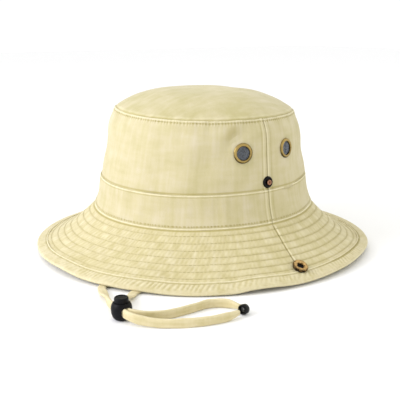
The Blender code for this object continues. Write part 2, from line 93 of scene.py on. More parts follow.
# How high the rim stands over the surface, in millimetres, by angle
RIM_LIFT = np.array((
    (-60, 2.2), (-43, 2.8), (-32, 3.3), (-22, 3.4), (-12, 2.7), (-4, 3.5), (1, 3.8), (4, 3.9), (8, 3.5),
    (11, 2.9), (14, 2.4), (18, 2), (24, 1.8), (32, 1.6), (41, 1), (44, 0.5), (48, 0.2), (53, 0),
    (58, 0.4), (62, 0.5), (65, 1), (68, 2.2), (72, 2.7), (76, 2.5), (80, 1.8), (84, 1.4), (88, 1.5),
    (94, 2), (99, 2.6), (106, 3), (116, 3.8), (126, 3.2), (134, 2.2), (142, 1.3), (150, 0.7), (165, 0.2),
    (180, 0), (205, 0), (235, 0), (260, 0.8), (280, 1.6),
))

# How far the cloth rises at the crown's foot and at its top seam, in millimetres, by angle
FOOT_RISE = np.array((
    (-60, 2.4), (-45, 2.9), (-26, 2.9), (-2, 1.6), (20, 1), (45, 0.8), (56, 1.1), (80, 1.3), (100, 1.5),
    (112, 1.8), (126, 2.9), (140, 1.8), (160, 0.2), (185, -0.8), (220, -0.8), (250, 0), (280, 1.4),
))
SEAM_RISE = np.array((
    (-60, 2.6), (-40, 3.2), (-20, 3), (0, 2), (20, 0.9), (46, 0.2), (57, 0.2), (80, 0.4), (110, 0.7),
    (136, 0.9), (170, 1.5), (220, 1.9), (260, 2.1), (280, 2.3),
))

# The share of the rise at the crown's foot that the brim takes, by share of its width
RISE_OVER_BRIM = np.array((
    (0, 1), (0.2, 0.8), (0.4, 0.58), (0.6, 0.38), (0.8, 0.16), (1, 0),
))

# How far the middle of the brim sags between the crown and the rim, in millimetres, by angle
BRIM_SAG = np.array((
    (-60, 2.6), (-45, 2.4), (-20, 1), (5, 0), (95, 0), (120, 1.5), (135, 3.6), (150, 5), (170, 5),
    (200, 3.6), (240, 3), (280, 2.6),
))


# Numbers and curves


def smooth_columns(table, at):
    """Smooth curves through a table's columns, at these values of its first column."""
    xs, ys = table[:, 0], table[:, 1:]
    slopes = np.gradient(ys, xs, axis=0)
    at = np.clip(at, xs[0], xs[-1])
    place = np.clip(np.searchsorted(xs, at) - 1, 0, len(xs) - 2)
    width = xs[place + 1] - xs[place]
    t = ((at - xs[place]) / width)[..., None]
    width = width[..., None]
    a, b = ys[place], ys[place + 1]
    return ((2 * t**3 - 3 * t**2 + 1) * a + (t**3 - 2 * t**2 + t) * width * slopes[place]
            + (3 * t**2 - 2 * t**3) * b + (t**3 - t**2) * width * slopes[place + 1])


def ease(share):
    """A smooth step from 0 to 1."""
    share = np.clip(share, 0, 1)
    return share * share * (3 - 2 * share)


def hill(value, middle, half):
    """A smooth hill of height 1 round a middle, with this half width."""
    return np.exp(-((value - middle) / half) ** 2)


def hills(value, *each):
    """A sum of smooth hills, each with its height, middle and half width."""
    return sum(height * hill(value, middle, half) for height, middle, half in each)


def ripple(u, v, seed, shortest, longest, lean=0.0):
    """Smooth seeded unevenness from about -1 to 1, as a sum of nine waves of these lengths.

    A lean near 1 makes the waves run along u alone.
    """
    rng = np.random.default_rng(seed)
    waves = 9
    total = np.zeros(np.broadcast(u, v).shape)
    for _ in range(waves):
        length = np.exp(rng.uniform(np.log(shortest), np.log(longest)))
        turn = rng.uniform(0, pi)
        across = sin(turn) * (1 - lean)
        total += np.sin(2 * pi * (u * cos(turn) + v * across) / length + rng.uniform(0, 2 * pi))
    return total / waves**0.5


def crown_shares(height):
    """The crown's shares of its foot's length and width at a height."""
    share = np.clip((height - JOINT_HEIGHT) / CROWN_HEIGHT, 0, 1)
    columns = smooth_columns(CROWN_TABLE, share)
    return columns[..., 0], columns[..., 1]


def by_angle(table, angle):
    """A smooth closed curve through a table by angle, in metres, at these angles."""
    whole = np.vstack([table, table[:1] + (360, 0)])
    return smooth_columns(whole, (angle + 60) % 360 - 60)[..., 0] * MM


def on_crown(angle, height, outward):
    """Points of the crown's outside at these angles and heights, moved level outward."""
    length_share, width_share = crown_shares(height)
    turn = np.radians(angle)
    along = BASE_LENGTH * length_share + outward
    across = BASE_WIDTH * width_share + outward
    above = np.clip((height - JOINT_HEIGHT) / CROWN_HEIGHT, 0, 1)
    level = height + by_angle(FOOT_RISE, angle) * (1 - above) + by_angle(SEAM_RISE, angle) * above
    return np.stack(np.broadcast_arrays(across * np.sin(turn), -along * np.cos(turn), level), -1)


def brim_slope(reach):
    """Fall of the brim's middle layer for each metre outward."""
    return BRIM_DROP / BRIM_WIDTH * (1 + BRIM_BOW * (1 - 2 * reach / BRIM_WIDTH))


def on_brim(angle, reach, offset):
    """Points this far out from the band, offset from the brim's middle layer along its normal."""
    share = reach / BRIM_WIDTH
    fall = share + BRIM_BOW * share * (1 - share)
    slope = brim_slope(reach)
    long_side = (1 + slope * slope) ** 0.5
    outward = BAND_OUTSIDE + reach + offset * slope / long_side
    lift = by_angle(RIM_LIFT, angle) * np.clip(share, 0, 1) ** 2
    lift = lift + by_angle(FOOT_RISE, angle) * smooth_columns(RISE_OVER_BRIM, share)[..., 0]
    lift = lift - by_angle(BRIM_SAG, angle) * 4 * np.clip(share * (1 - share), 0, 1)
    height = RIM_MIDDLE + BRIM_DROP * (1 - fall) + offset / long_side + lift
    turn = np.radians(angle)
    return np.stack(np.broadcast_arrays(
        (BASE_WIDTH + outward) * np.sin(turn), -(BASE_LENGTH + outward) * np.cos(turn), height), -1)


def unit(vectors):
    """These vectors at length 1."""
    return vectors / np.maximum(np.linalg.norm(vectors, axis=-1, keepdims=True), 1e-12)


def normals_of(grid):
    """Unit normals of a grid of points, outward where rows go down and columns go round."""
    return unit(np.cross(np.gradient(grid, axis=0), np.gradient(grid, axis=1)))


def arc_length(radius_length, radius_width, angle):
    """Millimetres round an oval from the front to these angles, near enough for a pattern."""
    fine = np.radians(np.arange(-200, 401))
    step = np.hypot(radius_width * np.cos(fine), radius_length * np.sin(fine)) * radians(1)
    total = np.concatenate([[0], np.cumsum((step[1:] + step[:-1]) / 2)]) / MM
    total -= np.interp(0, np.degrees(fine), total)
    return np.interp(angle, np.degrees(fine), total)


# Objects and meshes


def circle(count):
    """Angles in radians round a circle, in this many steps."""
    return np.linspace(0, 2 * pi, count, endpoint=False)


def linked(name, data):
    """A new object in the scene."""
    made = bpy.data.objects.new(name, data)
    bpy.context.scene.collection.objects.link(made)
    return made


@contextmanager
def editing(mesh):
    """A mesh opened for editing, which is written back at the end."""
    bm = bmesh.new()
    bm.from_mesh(mesh)
    yield bm
    bm.to_mesh(mesh)
    bm.free()


def mesh_of(points, faces):
    """A smooth mesh from points and faces."""
    mesh = bpy.data.meshes.new("piece")
    mesh.from_pydata(np.reshape(points, (-1, 3)).tolist(), [], faces)
    mesh.shade_smooth()
    return mesh


def numbered(mesh, key, values):
    """Gives each vertex of a mesh a named number, which its material reads."""
    attribute = mesh.attributes.new(key, "FLOAT", "POINT")
    attribute.data.foreach_set("value", np.asarray(values, np.float32).ravel())


def grid_mesh(points, uv, closed_rows=True, closed_columns=False):
    """A mesh from a grid of points with its pattern coordinates, its ends closed unless it is a ring."""
    rows, columns = points.shape[:2]
    index = np.arange(rows * columns).reshape(rows, columns)
    row_after = np.roll(index, -1, 0) if closed_rows else index[1:]
    first = index if closed_rows else index[:-1]
    if closed_columns:
        quads = np.stack([first, row_after, np.roll(row_after, -1, 1), np.roll(first, -1, 1)], -1)
    else:
        quads = np.stack([first[:, :-1], row_after[:, :-1], row_after[:, 1:], first[:, 1:]], -1)
    quads = quads.reshape(-1, 4)
    faces = quads.tolist()
    if not closed_columns:
        faces.append(index[:, 0].tolist())
        faces.append(index[::-1, -1].tolist())
    mesh = mesh_of(points, faces)
    loops = np.empty(len(mesh.loops), np.int32)
    mesh.loops.foreach_get("vertex_index", loops)
    flat = uv.reshape(-1, 2)[loops]
    if closed_columns:
        corners = flat[:quads.size].reshape(-1, 4, 2)
        span = uv[..., 0].max() - uv[..., 0].min()
        wrapped = corners[:, :, 0].max(1) - corners[:, :, 0].min(1) > span / 2
        low = corners[:, :, 0] < uv[..., 0].min() + span / 2
        corners[:, :, 0] += np.where(wrapped[:, None] & low, span + span / (columns - 1), 0)
        flat[:quads.size] = corners.reshape(-1, 2)
    mesh.uv_layers.new(name="cloth").uv.foreach_set("vector", flat.astype(np.float32).ravel())
    return mesh


def tube_faces(start, rings, sides):
    """Faces of an open tube whose vertices are numbered ring by ring from this start."""
    index = start + np.arange(rings * sides).reshape(rings, sides)
    first, after = index[:-1], index[1:]
    return np.stack([first, np.roll(first, -1, 1), np.roll(after, -1, 1), after], -1).reshape(-1, 4).tolist()


def placed(name, mesh, material, node=None, body="hat", matrix=Matrix()):
    """Puts a mesh in the scene on its body, with its material, in place of a CAD node."""
    mesh.name = name
    mesh.materials.append(material)
    made = linked(name, mesh)
    made.matrix_world = matrix
    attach(made, body)
    if node:
        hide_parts(node)
    return made


def outward_normals(mesh):
    """A mesh with its faces turned outward."""
    with editing(mesh) as bm:
        bmesh.ops.recalc_face_normals(bm, faces=bm.faces)
    return mesh


def cloth_piece(name, points, uv, painted_light_and_worn, material, node, closed_columns=False):
    """A solid of cloth from its grid, in place of its CAD node."""
    mesh = outward_normals(grid_mesh(points, uv, closed_columns=closed_columns))
    numbered(mesh, "painted_light_and_worn", painted_light_and_worn)
    return placed(name, mesh, material, node)


def turned_mesh(profile, around, sharp=50):
    """A mesh turned about Z from distances from the axis and heights, in millimetres."""
    mesh = bpy.data.meshes.new("turned")
    with editing(mesh) as bm:
        verts = [bm.verts.new((radius * MM, 0, height * MM)) for radius, height in profile]
        edges = [bm.edges.new(pair) for pair in zip(verts, verts[1:])]
        if profile[0][0] > 0:
            edges.append(bm.edges.new((verts[-1], verts[0])))
        bmesh.ops.spin(bm, geom=verts + edges, axis=(0, 0, 1), cent=(0, 0, 0), angle=2 * pi,
                       steps=around, use_merge=True)
        bmesh.ops.remove_doubles(bm, verts=bm.verts, dist=1e-6)
        bmesh.ops.recalc_face_normals(bm, faces=bm.faces)
    mesh.shade_smooth()
    mesh.set_sharp_from_angle(angle=radians(sharp))
    return mesh


def rounded(profile, radius, steps=4):
    """A profile with each inner corner rounded to about this radius."""
    points = [Vector(point) for point in profile]
    made = [points[0]]
    for before, corner, after in zip(points, points[1:], points[2:]):
        into = before - corner
        out = after - corner
        reach = min(radius, into.length * 0.45, out.length * 0.45)
        start = corner + into.normalized() * reach
        end = corner + out.normalized() * reach
        for step in range(steps + 1):
            t = step / steps
            made.append(start * (1 - t) ** 2 + corner * 2 * t * (1 - t) + end * t * t)
    made.append(points[-1])
    return [tuple(point) for point in made]


# Materials


def linear(colour):
    """An sRGB colour, 0 to 255, as linear light."""
    made = []
    for channel in colour:
        share = channel / 255
        made.append(share / 12.92 if share <= 0.04045 else ((share + 0.055) / 1.055) ** 2.4)
    return (*made, 1)


class Tree:
    """A material's nodes, made with short calls."""

    def __init__(self, name):
        self.material = bpy.data.materials.new(name)
        self.material.use_nodes = True
        self.tree = self.material.node_tree

    def fill(self, node, inputs):
        for key, value in inputs.items():
            if isinstance(value, bpy.types.NodeSocket):
                self.tree.links.new(value, node.inputs[key])
            else:
                node.inputs[key].default_value = value
        return node

    def finished(self, inputs):
        """The material, with these inputs of its shader."""
        self.fill(self.tree.nodes["Principled BSDF"], inputs)
        return self.material

    def add(self, kind, inputs=None, **settings):
        node = self.tree.nodes.new(kind)
        for key, value in settings.items():
            setattr(node, key, value)
        return self.fill(node, inputs or {})

    def own_place(self):
        return self.add("ShaderNodeTexCoord").outputs["Object"]

    def attribute(self, key):
        return self.add("ShaderNodeAttribute", attribute_name=key).outputs["Fac"]

    def math(self, operation, first, second, third=0.0):
        return self.add("ShaderNodeMath", {0: first, 1: second, 2: third}, operation=operation).outputs[0]

    def scaled(self, vector, factors, moved=(0, 0, 0)):
        inputs = {"Vector": vector, "Scale": factors, "Location": moved}
        return self.add("ShaderNodeMapping", inputs).outputs[0]

    def noise(self, vector, factors, detail=2, roughness=0.5, moved=(0, 0, 0)):
        inputs = {"Vector": self.scaled(vector, factors, moved), "Scale": 1, "Detail": detail,
                  "Roughness": roughness}
        return self.add("ShaderNodeTexNoise", inputs).outputs["Fac"]

    def grain(self, times, detail=2, roughness=0.5):
        """Even noise with this many waves a metre."""
        return self.noise(self.own_place(), (times, times, times), detail, roughness)

    def ramp(self, value, stops):
        stops = list(stops)
        made = self.add("ShaderNodeValToRGB", {"Fac": value})
        elements = made.color_ramp.elements
        while len(elements) < len(stops):
            elements.new(0.5)
        for element, (place, colour) in zip(elements, stops):
            element.position = place
            element.color = linear(colour)
        return made.outputs["Color"]

    def mix(self, share, first, colour):
        inputs = {"Factor": share, 6: first, 7: linear(colour)}
        return self.add("ShaderNodeMix", inputs, data_type="RGBA").outputs[2]

    def span(self, value, low, high, to_low=0.0, to_high=1.0):
        inputs = {"Value": value, "From Min": low, "From Max": high, "To Min": to_low, "To Max": to_high}
        return self.add("ShaderNodeMapRange", inputs).outputs[0]

    def bump(self, height, distance, strength, after=None):
        inputs = {"Height": height, "Distance": distance, "Strength": strength}
        if after is not None:
            inputs["Normal"] = after
        return self.add("ShaderNodeBump", inputs).outputs["Normal"]


# Colours as seen, 0 to 255; the sets of three go from the darkest to the lightest
CREAM = (205, 195, 167)
STRAW = (196, 186, 147)
OLIVE = (184, 175, 127)
# The next two colours: the pale one is for ridges, partly rubbed pale cloth and partly painted highlight;
# the dark one is painted shade for grooves and creases.
RIDGE_WEAR_AND_HIGHLIGHT = (232, 224, 189)
GROOVE_SHADE = (156, 143, 80)
CORD_COLOURS = ((194, 181, 131), (209, 196, 153), (220, 208, 172))
BRIM_COLOURS = ((185, 175, 124), (198, 187, 143), (208, 198, 163))
RING_COLOURS = ((30, 25, 14), (98, 84, 46), (168, 144, 86))
SOCKET_COLOURS = ((12, 10, 7), (106, 82, 46), (202, 166, 106))
NIB_COLOURS = ((26, 18, 14), (94, 64, 48), (160, 116, 92))


def cloth_material(name, streak, cross=(22.0, 5.0), blotch=16.0, planar=False, yellow=0.0, streaks=0.5,
                   palette=(OLIVE, STRAW, CREAM)):
    """Washed twill: slubs along and across the threads, blotches, ridges paler as rubbed cloth and painted
    highlight, and painted shade in the grooves.
    """
    made = Tree(name)
    if planar:
        place = made.scaled(made.own_place(), (1000, 1000, 1000))
    else:
        place = made.add("ShaderNodeUVMap", uv_map="cloth").outputs["UV"]
    slub = made.noise(place, (1 / streak[0], 1 / streak[1], 0.02))
    weft = made.noise(place, (1 / cross[0], 1 / cross[1], 0.02), moved=(7, 3, 0))
    wide = made.noise(place, (1 / blotch, 1 / blotch / 1.6, 0.02), 4, 0.55, (2, 9, 0))
    fine = made.noise(place, (2.2, 1.1, 0.02), 2, 0.6)
    tone = made.math("MULTIPLY_ADD", slub, streaks, made.math("MULTIPLY", weft, 0.7 - streaks))
    tone = made.math("MULTIPLY_ADD", wide, 0.65, tone)
    tone = made.math("MULTIPLY_ADD", fine, 0.1, tone)
    tone = made.math("ADD", tone, -0.225 - yellow)
    colour = made.ramp(tone, zip((0.24, 0.5, 0.75), palette))
    # Each vertex's number from the pieces: above 0 the cloth turns paler, partly as rubbed cloth and partly
    # as painted highlight; below 0 it takes painted shade.
    painted_light_and_worn = made.attribute("painted_light_and_worn")
    rubbed = made.math("MULTIPLY", made.span(painted_light_and_worn, 0.0, 1.0), made.span(slub, 0.3, 0.7, 0.6, 1.0))
    colour = made.mix(rubbed, colour, RIDGE_WEAR_AND_HIGHLIGHT)
    colour = made.mix(made.span(painted_light_and_worn, 0.0, -1.0), colour, GROOVE_SHADE)
    twill = {"Vector": made.scaled(place, (1, 0.62, 1)), "Scale": 0.5, "Distortion": 0.6, "Detail": 1.0}
    twill = made.add("ShaderNodeTexWave", twill, wave_type="BANDS", bands_direction="DIAGONAL")
    weave = made.bump(twill.outputs["Fac"], 0.0001, 0.5)
    weave = made.bump(fine, 0.00022, 0.6, weave)
    weave = made.bump(slub, 0.00018, 0.4, weave)
    return made.finished({"Base Color": colour, "Roughness": 0.88, "Specular IOR Level": 0.25,
                          "Sheen Weight": 0.18, "Sheen Roughness": 0.5, "Normal": weave})


def thread_material():
    """Sewing thread, a little lighter than the cloth, with its twist."""
    made = Tree("thread")
    colour = made.ramp(made.grain(220), ((0.35, (180, 169, 118)), (0.65, (196, 186, 143))))
    twist = made.bump(made.grain(3000, 1), 0.00008, 0.6)
    return made.finished({"Base Color": colour, "Roughness": 0.7, "Normal": twist})


def brass_material(name, palette, speckle, grain, slant=(0.0, 0.0)):
    """Antique brass: dark patina in the hollows, rubbed bright on the edges, and painted light and shade,
    lighter to one side and darker to the other.
    """
    made = Tree(name)
    wide = made.grain(420, 4, 0.6)
    fine = made.grain(grain, 3, 0.6)
    apart = made.add("ShaderNodeSeparateXYZ", {"Vector": made.own_place()}).outputs
    tone = made.math("MULTIPLY_ADD", wide, 0.55, made.math("MULTIPLY", fine, speckle))
    tone = made.math("MULTIPLY_ADD", made.attribute("edge"), 0.45, tone)
    tone = made.math("ADD", tone, (0.2 - speckle) / 2)
    # Painted light and shade: the tone rises across the piece, so one side is lighter and the other darker.
    tone = made.math("MULTIPLY_ADD", apart["X"], slant[0], tone)
    tone = made.math("MULTIPLY_ADD", apart["Y"], slant[1], tone)
    return made.finished({
        "Base Color": made.ramp(tone, zip((0.22, 0.45, 0.7), palette)),
        "Metallic": 0.9,
        "Roughness": made.span(fine, 0.3, 0.7, 0.3, 0.48),
        "Normal": made.bump(wide, 0.00012, 0.4, made.bump(fine, 0.00003, 0.4)),
    })


def wire_material():
    """Grey-blue woven wire."""
    made = Tree("woven_wire")
    tone = made.grain(900, 3, 0.6)
    colour = made.ramp(tone, ((0.38, (52, 58, 70)), (0.62, (186, 192, 202))))
    return made.finished({"Base Color": colour, "Metallic": 0.55, "Roughness": 0.42,
                          "Normal": made.bump(tone, 0.00002, 0.3)})


def plastic_material(name, base, light, roughness, grain, coat=0.0):
    """Moulded black plastic with a fine grain."""
    made = Tree(name)
    wide = made.grain(350, 3)
    return made.finished({
        "Base Color": made.ramp(wide, ((0.35, base), (0.7, light))),
        "Roughness": made.span(wide, 0.3, 0.7, roughness - 0.05, roughness + 0.08),
        "Specular IOR Level": 0.14,
        "Coat Weight": coat,
        "Coat Roughness": 0.12,
        "Normal": made.bump(made.grain(3500), grain, 0.5),
    })


side_cloth = cloth_material("side_cloth", (3.8, 46.0), streaks=0.4)
band_cloth = cloth_material("band_cloth", (3.4, 44.0), streaks=0.42)
# The top's cloth is toned darker than the sides', as painted shade on the top.
top_cloth = cloth_material("top_cloth", (5.0, 18.0), (20.0, 4.0), planar=True, yellow=0.1)
brim_cloth = cloth_material("brim_cloth", (3.0, 16.0), (9.0, 2.6), 9.0, yellow=-0.02, palette=BRIM_COLOURS)
binding_cloth = cloth_material("binding_cloth", (2.4, 9.0), (16.0, 3.0), 12.0, yellow=-0.1,
                               palette=BRIM_COLOURS)
cord_cloth = cloth_material("cord_cloth", (12.0, 1.6), (2.0, 6.0), 9.0, palette=CORD_COLOURS)
thread = thread_material()
# For the rings and the sockets' discs, the last pair of numbers paints one side lighter and the other darker
# as light and shade.
ring_brass = brass_material("ring_brass", RING_COLOURS, 0.3, 1300, (-24, 24))
socket_brass = brass_material("socket_brass", SOCKET_COLOURS, 0.9, 1000, (14, 8))
nib_copper = brass_material("nib_copper", NIB_COLOURS, 0.6, 1500)
wire = wire_material()
mouth_painted_shade = plastic_material("mouth_painted_shade", (3, 3, 3), (7, 6, 6), 0.5, 0.00001)
stud_black = plastic_material("stud_black", (4, 3, 3), (9, 7, 7), 0.28, 0.00001, 0.05)
lock_black = plastic_material("lock_black", (5, 5, 6), (15, 15, 17), 0.48, 0.00006)
bead_black = plastic_material("bead_black", (4, 4, 5), (9, 9, 10), 0.26, 0.00001, 0.1)


# The camera

CAMERA_PLACE = (0.4854, -0.3581, 0.1865)
CAMERA_WAY = (-0.7836, 0.5714, -0.244)
CAMERA_LENS = 63.43


def set_camera():
    """The camera at the photograph's viewing angle."""
    made = linked("camera", bpy.data.cameras.new("camera"))
    made.data.lens = CAMERA_LENS
    made.data.sensor_width = 36
    forward = Vector(CAMERA_WAY).normalized()
    right = forward.cross(Vector((0, 0, 1))).normalized()
    rotation = Matrix((right, right.cross(forward), -forward)).transposed().to_4x4()
    made.matrix_world = Matrix.Translation(CAMERA_PLACE) @ rotation
    bpy.context.scene.camera = made


set_camera()


# The chin cord: for each strand, points on its way in millimetres and how it lies there, from 0 flat
# on the wall by 1 flat on the surface to 2 on its edge

CORD_WIDTH = 0.0062
CORD_STEP = 0.0012
CORD_LEFT = (
    (80.8, 6, 45, 0), (80.8, 3, 28, 0), (82, -6, 11, 0.2), (84.5, -24, 2, 1), (85, -50, 1.25, 1),
    (79, -76, 1.25, 1), (74.5, -99, 1.25, 1), (79.6, -118.6, 1.25, 1), (85.8, -126.2, 2, 1.15),
    (92, -134.5, 4, 1.5), (97, -142, 6, 1.9), (101.4, -146.2, 6.4, 2), (106, -147.45, 6.4, 2),
    (119, -147.45, 6.4, 2), (123.2, -145.4, 6.2, 2), (126.3, -140.4, 5.2, 2), (128.3, -132.5, 4, 2),
    (130.5, -120, 3.2, 2), (131, -103.8, 3.2, 2), (130.8, -94.2, 3.2, 2), (133.8, -86.8, 3.2, 2),
    (140, -81.2, 3.3, 2), (148.8, -79.5, 3.5, 2),
)
CORD_RIGHT = (
    (-80.8, -4, 45, 0), (-80.8, -8, 27, 0), (-80, -18, 10, 0.2), (-73, -33, 2, 1), (-54, -52, 1.25, 1),
    (-27, -65, 1.25, 1), (2, -77, 1.25, 1), (27, -95, 1.25, 1), (43, -116, 1.25, 1),
    (56.8, -132.8, 1.25, 1), (68, -138.5, 2.2, 1.1), (84.3, -144.6, 4.4, 1.6), (94, -148.4, 6, 1.9),
    (101, -150.2, 6.4, 2), (106, -150.35, 6.4, 2), (119, -150.35, 6.4, 2), (124.5, -149.4, 6, 2),
    (130.5, -145.6, 4.8, 2), (139, -136.2, 3.3, 2), (147, -124.4, 3.2, 2), (153, -110.8, 3.2, 2),
    (156, -96, 3.2, 2), (154.9, -86, 3.4, 2),
)


def smooth_route(points, step):
    """Points about a step apart on a smooth curve through all the given ones."""
    ends = np.vstack([2 * points[0] - points[1], points, 2 * points[-1] - points[-2]])
    route = []
    for before, start, end, after in zip(ends, ends[1:], ends[2:], ends[3:]):
        parts = max(round(np.linalg.norm((end - start)[:3]) / step), 1)
        for part in range(parts):
            t = part / parts
            route.append(0.5 * (2 * start + (end - before) * t
                                + (2 * before - 5 * start + 4 * end - after) * t**2
                                + (3 * start - before - 3 * end + after) * t**3))
    return np.array(route + [points[-1]])


def strap_section():
    """A flat cord's section, 1 to each side: two rows with a shallow groove between them on each face."""
    turn = circle(20)
    wide = np.sign(np.cos(turn)) * np.abs(np.cos(turn)) ** 0.75
    full = np.sign(np.sin(turn)) * np.abs(np.sin(turn)) ** 0.55
    return wide, full * (1 - 0.07 * hill(wide, 0, 0.25))


def strap(node, points, side):
    """One strand of the chin cord: a flat strap that lies down under the rim and stands in the loop."""
    route = smooth_route(np.array(points) * (MM, MM, MM, 1), CORD_STEP)
    line, lay = route[:, :3], route[:, 3]
    upright = np.array((0, 0, 1.0))
    on_wall = np.array((0, side, 0.0))
    tangent = unit(np.gradient(line, axis=0))
    level = unit(np.cross(tangent, upright))
    wall_share = (1 - ease(lay))[:, None]
    edge_share = ease(lay - 1)[:, None]
    sign = np.sign((level * on_wall).sum(1, keepdims=True)[len(lay) // 5]) or 1
    across = wall_share * on_wall + (1 - wall_share) * (level * sign)
    across = across * (1 - edge_share) + upright * edge_share
    across = unit(across - (across * tangent).sum(1, keepdims=True) * tangent)
    thin = np.cross(tangent, across)
    travelled = np.concatenate([[0], np.cumsum(np.linalg.norm(np.diff(line, axis=0), axis=1))])
    left_over = travelled[-1] - travelled
    squeeze = 1 - 0.42 * ease(1 - left_over / 0.011)
    uneven = 1 + 0.03 * np.sin(travelled / 0.0047) + 0.02 * np.sin(travelled / 0.0021 + 1)
    half_thick = (0.00095 + 0.0004 * edge_share[:, 0]) * (1 + 0.25 * (1 - squeeze))
    half_width = CORD_WIDTH / 2 * squeeze * uneven
    wide, thick = strap_section()
    grid = (line + across * (wide[:, None] * half_width)[..., None]
            + thin * (thick[:, None] * half_thick)[..., None])
    grid[..., 2] = np.maximum(grid[..., 2], 0.00003)
    around = np.linspace(0, 2 * (CORD_WIDTH / MM + 2), len(wide), endpoint=False)
    uv = np.stack(np.broadcast_arrays(travelled / MM, around[:, None]), -1)
    # The strap's edges paler as rubbed cloth and painted highlight, and painted shade in its middle groove.
    painted_light_and_worn = 0.35 * np.abs(wide) ** 6 - 0.12 * hill(wide, 0, 0.25)
    painted_light_and_worn = np.repeat(painted_light_and_worn[:, None], len(line), 1)
    made = cloth_piece(node + "_strap", grid, uv, painted_light_and_worn, cord_cloth, node)
    return made, line, travelled[-1]


# Floor and light: each lamp's name, place, size, power and colour

LIGHTS = (
    ("key", (-0.3, -1.38, 0.7), 0.7, 15.2, (0.925, 0.925, 1.0)),
    ("top", (-0.6, -0.75, 1.35), 1.0, 1.4, (1.0, 0.99, 1.0)),
    ("fill", (0.95, 1.15, 0.55), 0.9, 1.7, (1.0, 0.96, 0.45)),
)
LIGHT_AIM = Vector((0, 0, 0.05))
WORLD_STRENGTH = 1.06


def floor_and_light():
    """A plain pale floor and soft studio light."""
    mesh = mesh_of([(-4, -4, 0), (4, -4, 0), (4, 4, 0), (-4, 4, 0)], [(0, 1, 2, 3)])
    surface = {"Base Color": (0.93, 0.93, 0.93, 1), "Roughness": 0.9, "Specular IOR Level": 0.1}
    mesh.materials.append(Tree("floor_white").finished(surface))
    linked("floor", mesh)
    world = bpy.data.worlds.new("studio")
    world.use_nodes = True
    background = world.node_tree.nodes["Background"].inputs
    background["Color"].default_value = (1, 1, 1, 1)
    background["Strength"].default_value = WORLD_STRENGTH
    bpy.context.scene.world = world
    for name, place, size, power, colour in LIGHTS:
        lamp = bpy.data.lights.new(name, "AREA")
        lamp.shape = "SQUARE"
        lamp.size = size
        lamp.energy = power
        lamp.color = colour
        aim = LIGHT_AIM - Vector(place)
        turned = aim.to_track_quat("-Z", "Y").to_matrix().to_4x4()
        linked(name, lamp).matrix_world = Matrix.Translation(place) @ turned
    bpy.context.scene.view_settings.view_transform = "Standard"


floor_and_light()

strands = [strap("chin_cord_left", CORD_LEFT, 1), strap("chin_cord_right", CORD_RIGHT, -1)]


# The crown's side panels

SIDE_TOP = TOP_HEIGHT - 0.0008
SIDE_THICK = 0.0013
PANEL_COLUMNS = 450


def facing(origin, outward, upward):
    """A matrix at a point whose Z looks along the outward direction and Y along the upward one."""
    level = upward.cross(outward).normalized()
    rotation = Matrix((level, outward.cross(level), outward)).transposed()
    return Matrix.Translation(origin) @ rotation.to_4x4()


def fitting_place(at, step=0.002):
    """A matrix on the cloth that at(degrees, metres up) gives, facing straight out of it."""
    upward = Vector(at(0.0, step) - at(0.0, -step)).normalized()
    along = Vector(at(1.0, 0.0) - at(-1.0, 0.0))
    return facing(at(0.0, 0.0), along.cross(upward).normalized(), upward)


def crown_place(angle, height):
    """Where a fitting sits on the crown, facing straight out of its cloth."""
    def at(turn, up):
        return on_crown(angle + turn, height + up, 0.0)
    return fitting_place(at)


def brim_place(angle, reach):
    """Where a fitting sits on top of the brim, facing straight out of its cloth."""
    def at(turn, up):
        return on_brim(angle + turn, reach - up, BRIM_HALF)
    return fitting_place(at)


def calm_near_fittings(grid):
    """Near 0 at the eyelets and studs and 1 away from them, so that cloth lies flat under metal."""
    calm = np.ones(grid.shape[:2])
    for _, way in SIDES:
        for (angle, height), half in ((EYELETS[0], 0.0095), (EYELETS[1], 0.0095), (STUD, 0.006)):
            middle = on_crown(way * angle, height, 0.0)
            calm *= 1 - np.exp(-(np.linalg.norm(grid - middle, axis=-1) / half) ** 4)
    return calm


def open_holes(mesh):
    """Opens the holes of the eyelets in a side panel's mesh."""
    centres = [Vector(on_crown(way * angle, height, 0.0)) for _, way in SIDES for angle, height in EYELETS]
    with editing(mesh) as bm:
        gone = []
        for face in bm.faces:
            middle = face.calc_center_median()
            if any((middle - centre).length < HOLE for centre in centres):
                gone.append(face)
        bmesh.ops.delete(bm, geom=gone, context="FACES")


def shell(name, outer, inner, uv, worn_and_painted_light, material, node):
    """A cloth solid from its outer grid and an inner one, joined round their edges."""
    grow = len(inner)
    inner_uv = np.repeat(uv[-1:], grow, 0) + np.array((0, 1.0)) * np.arange(1, grow + 1)[:, None, None]
    painted_light_and_worn = np.concatenate([worn_and_painted_light, np.zeros((grow, worn_and_painted_light.shape[1]))])
    rows = np.concatenate([outer, inner[::-1]])
    return cloth_piece(name, rows, np.concatenate([uv, inner_uv]), painted_light_and_worn, material, node)


def seam_shapes(turn, u, length, width, reach, front):
    """Shape and tone beside the side seams: a groove at each and a stitched line on each panel, with painted
    shade in the groove and beside the line, and the line paler as rubbed cloth and painted highlight.
    """
    shape = np.zeros_like(u)
    worn_and_painted_light = np.zeros_like(u)
    for seam in SEAMS:
        off = np.abs(u - arc_length(length, width, seam))
        if front:
            more = hills(off, (-0.3, 0, 0.45), (0.1, 3.0, 0.6), (-0.12, 4.6, 0.6))
            seam_worn_and_painted_light = hills(off, (-0.55, 0, 0.45), (0.45, 3.2, 0.6), (-0.45, 4.7, 0.5))
        else:
            more = hills(off, (-0.25, 0, 0.4), (0.3, 1.1, 0.6), (-0.15, 4.6, 0.8))
            seam_worn_and_painted_light = hills(off, (-0.4, 0, 0.4), (0.9, 1.1, 0.6), (-0.35, 4.6, 0.8))
        near = np.abs(turn - seam) < reach
        shape += near * more
        worn_and_painted_light += near * seam_worn_and_painted_light
    return shape, worn_and_painted_light


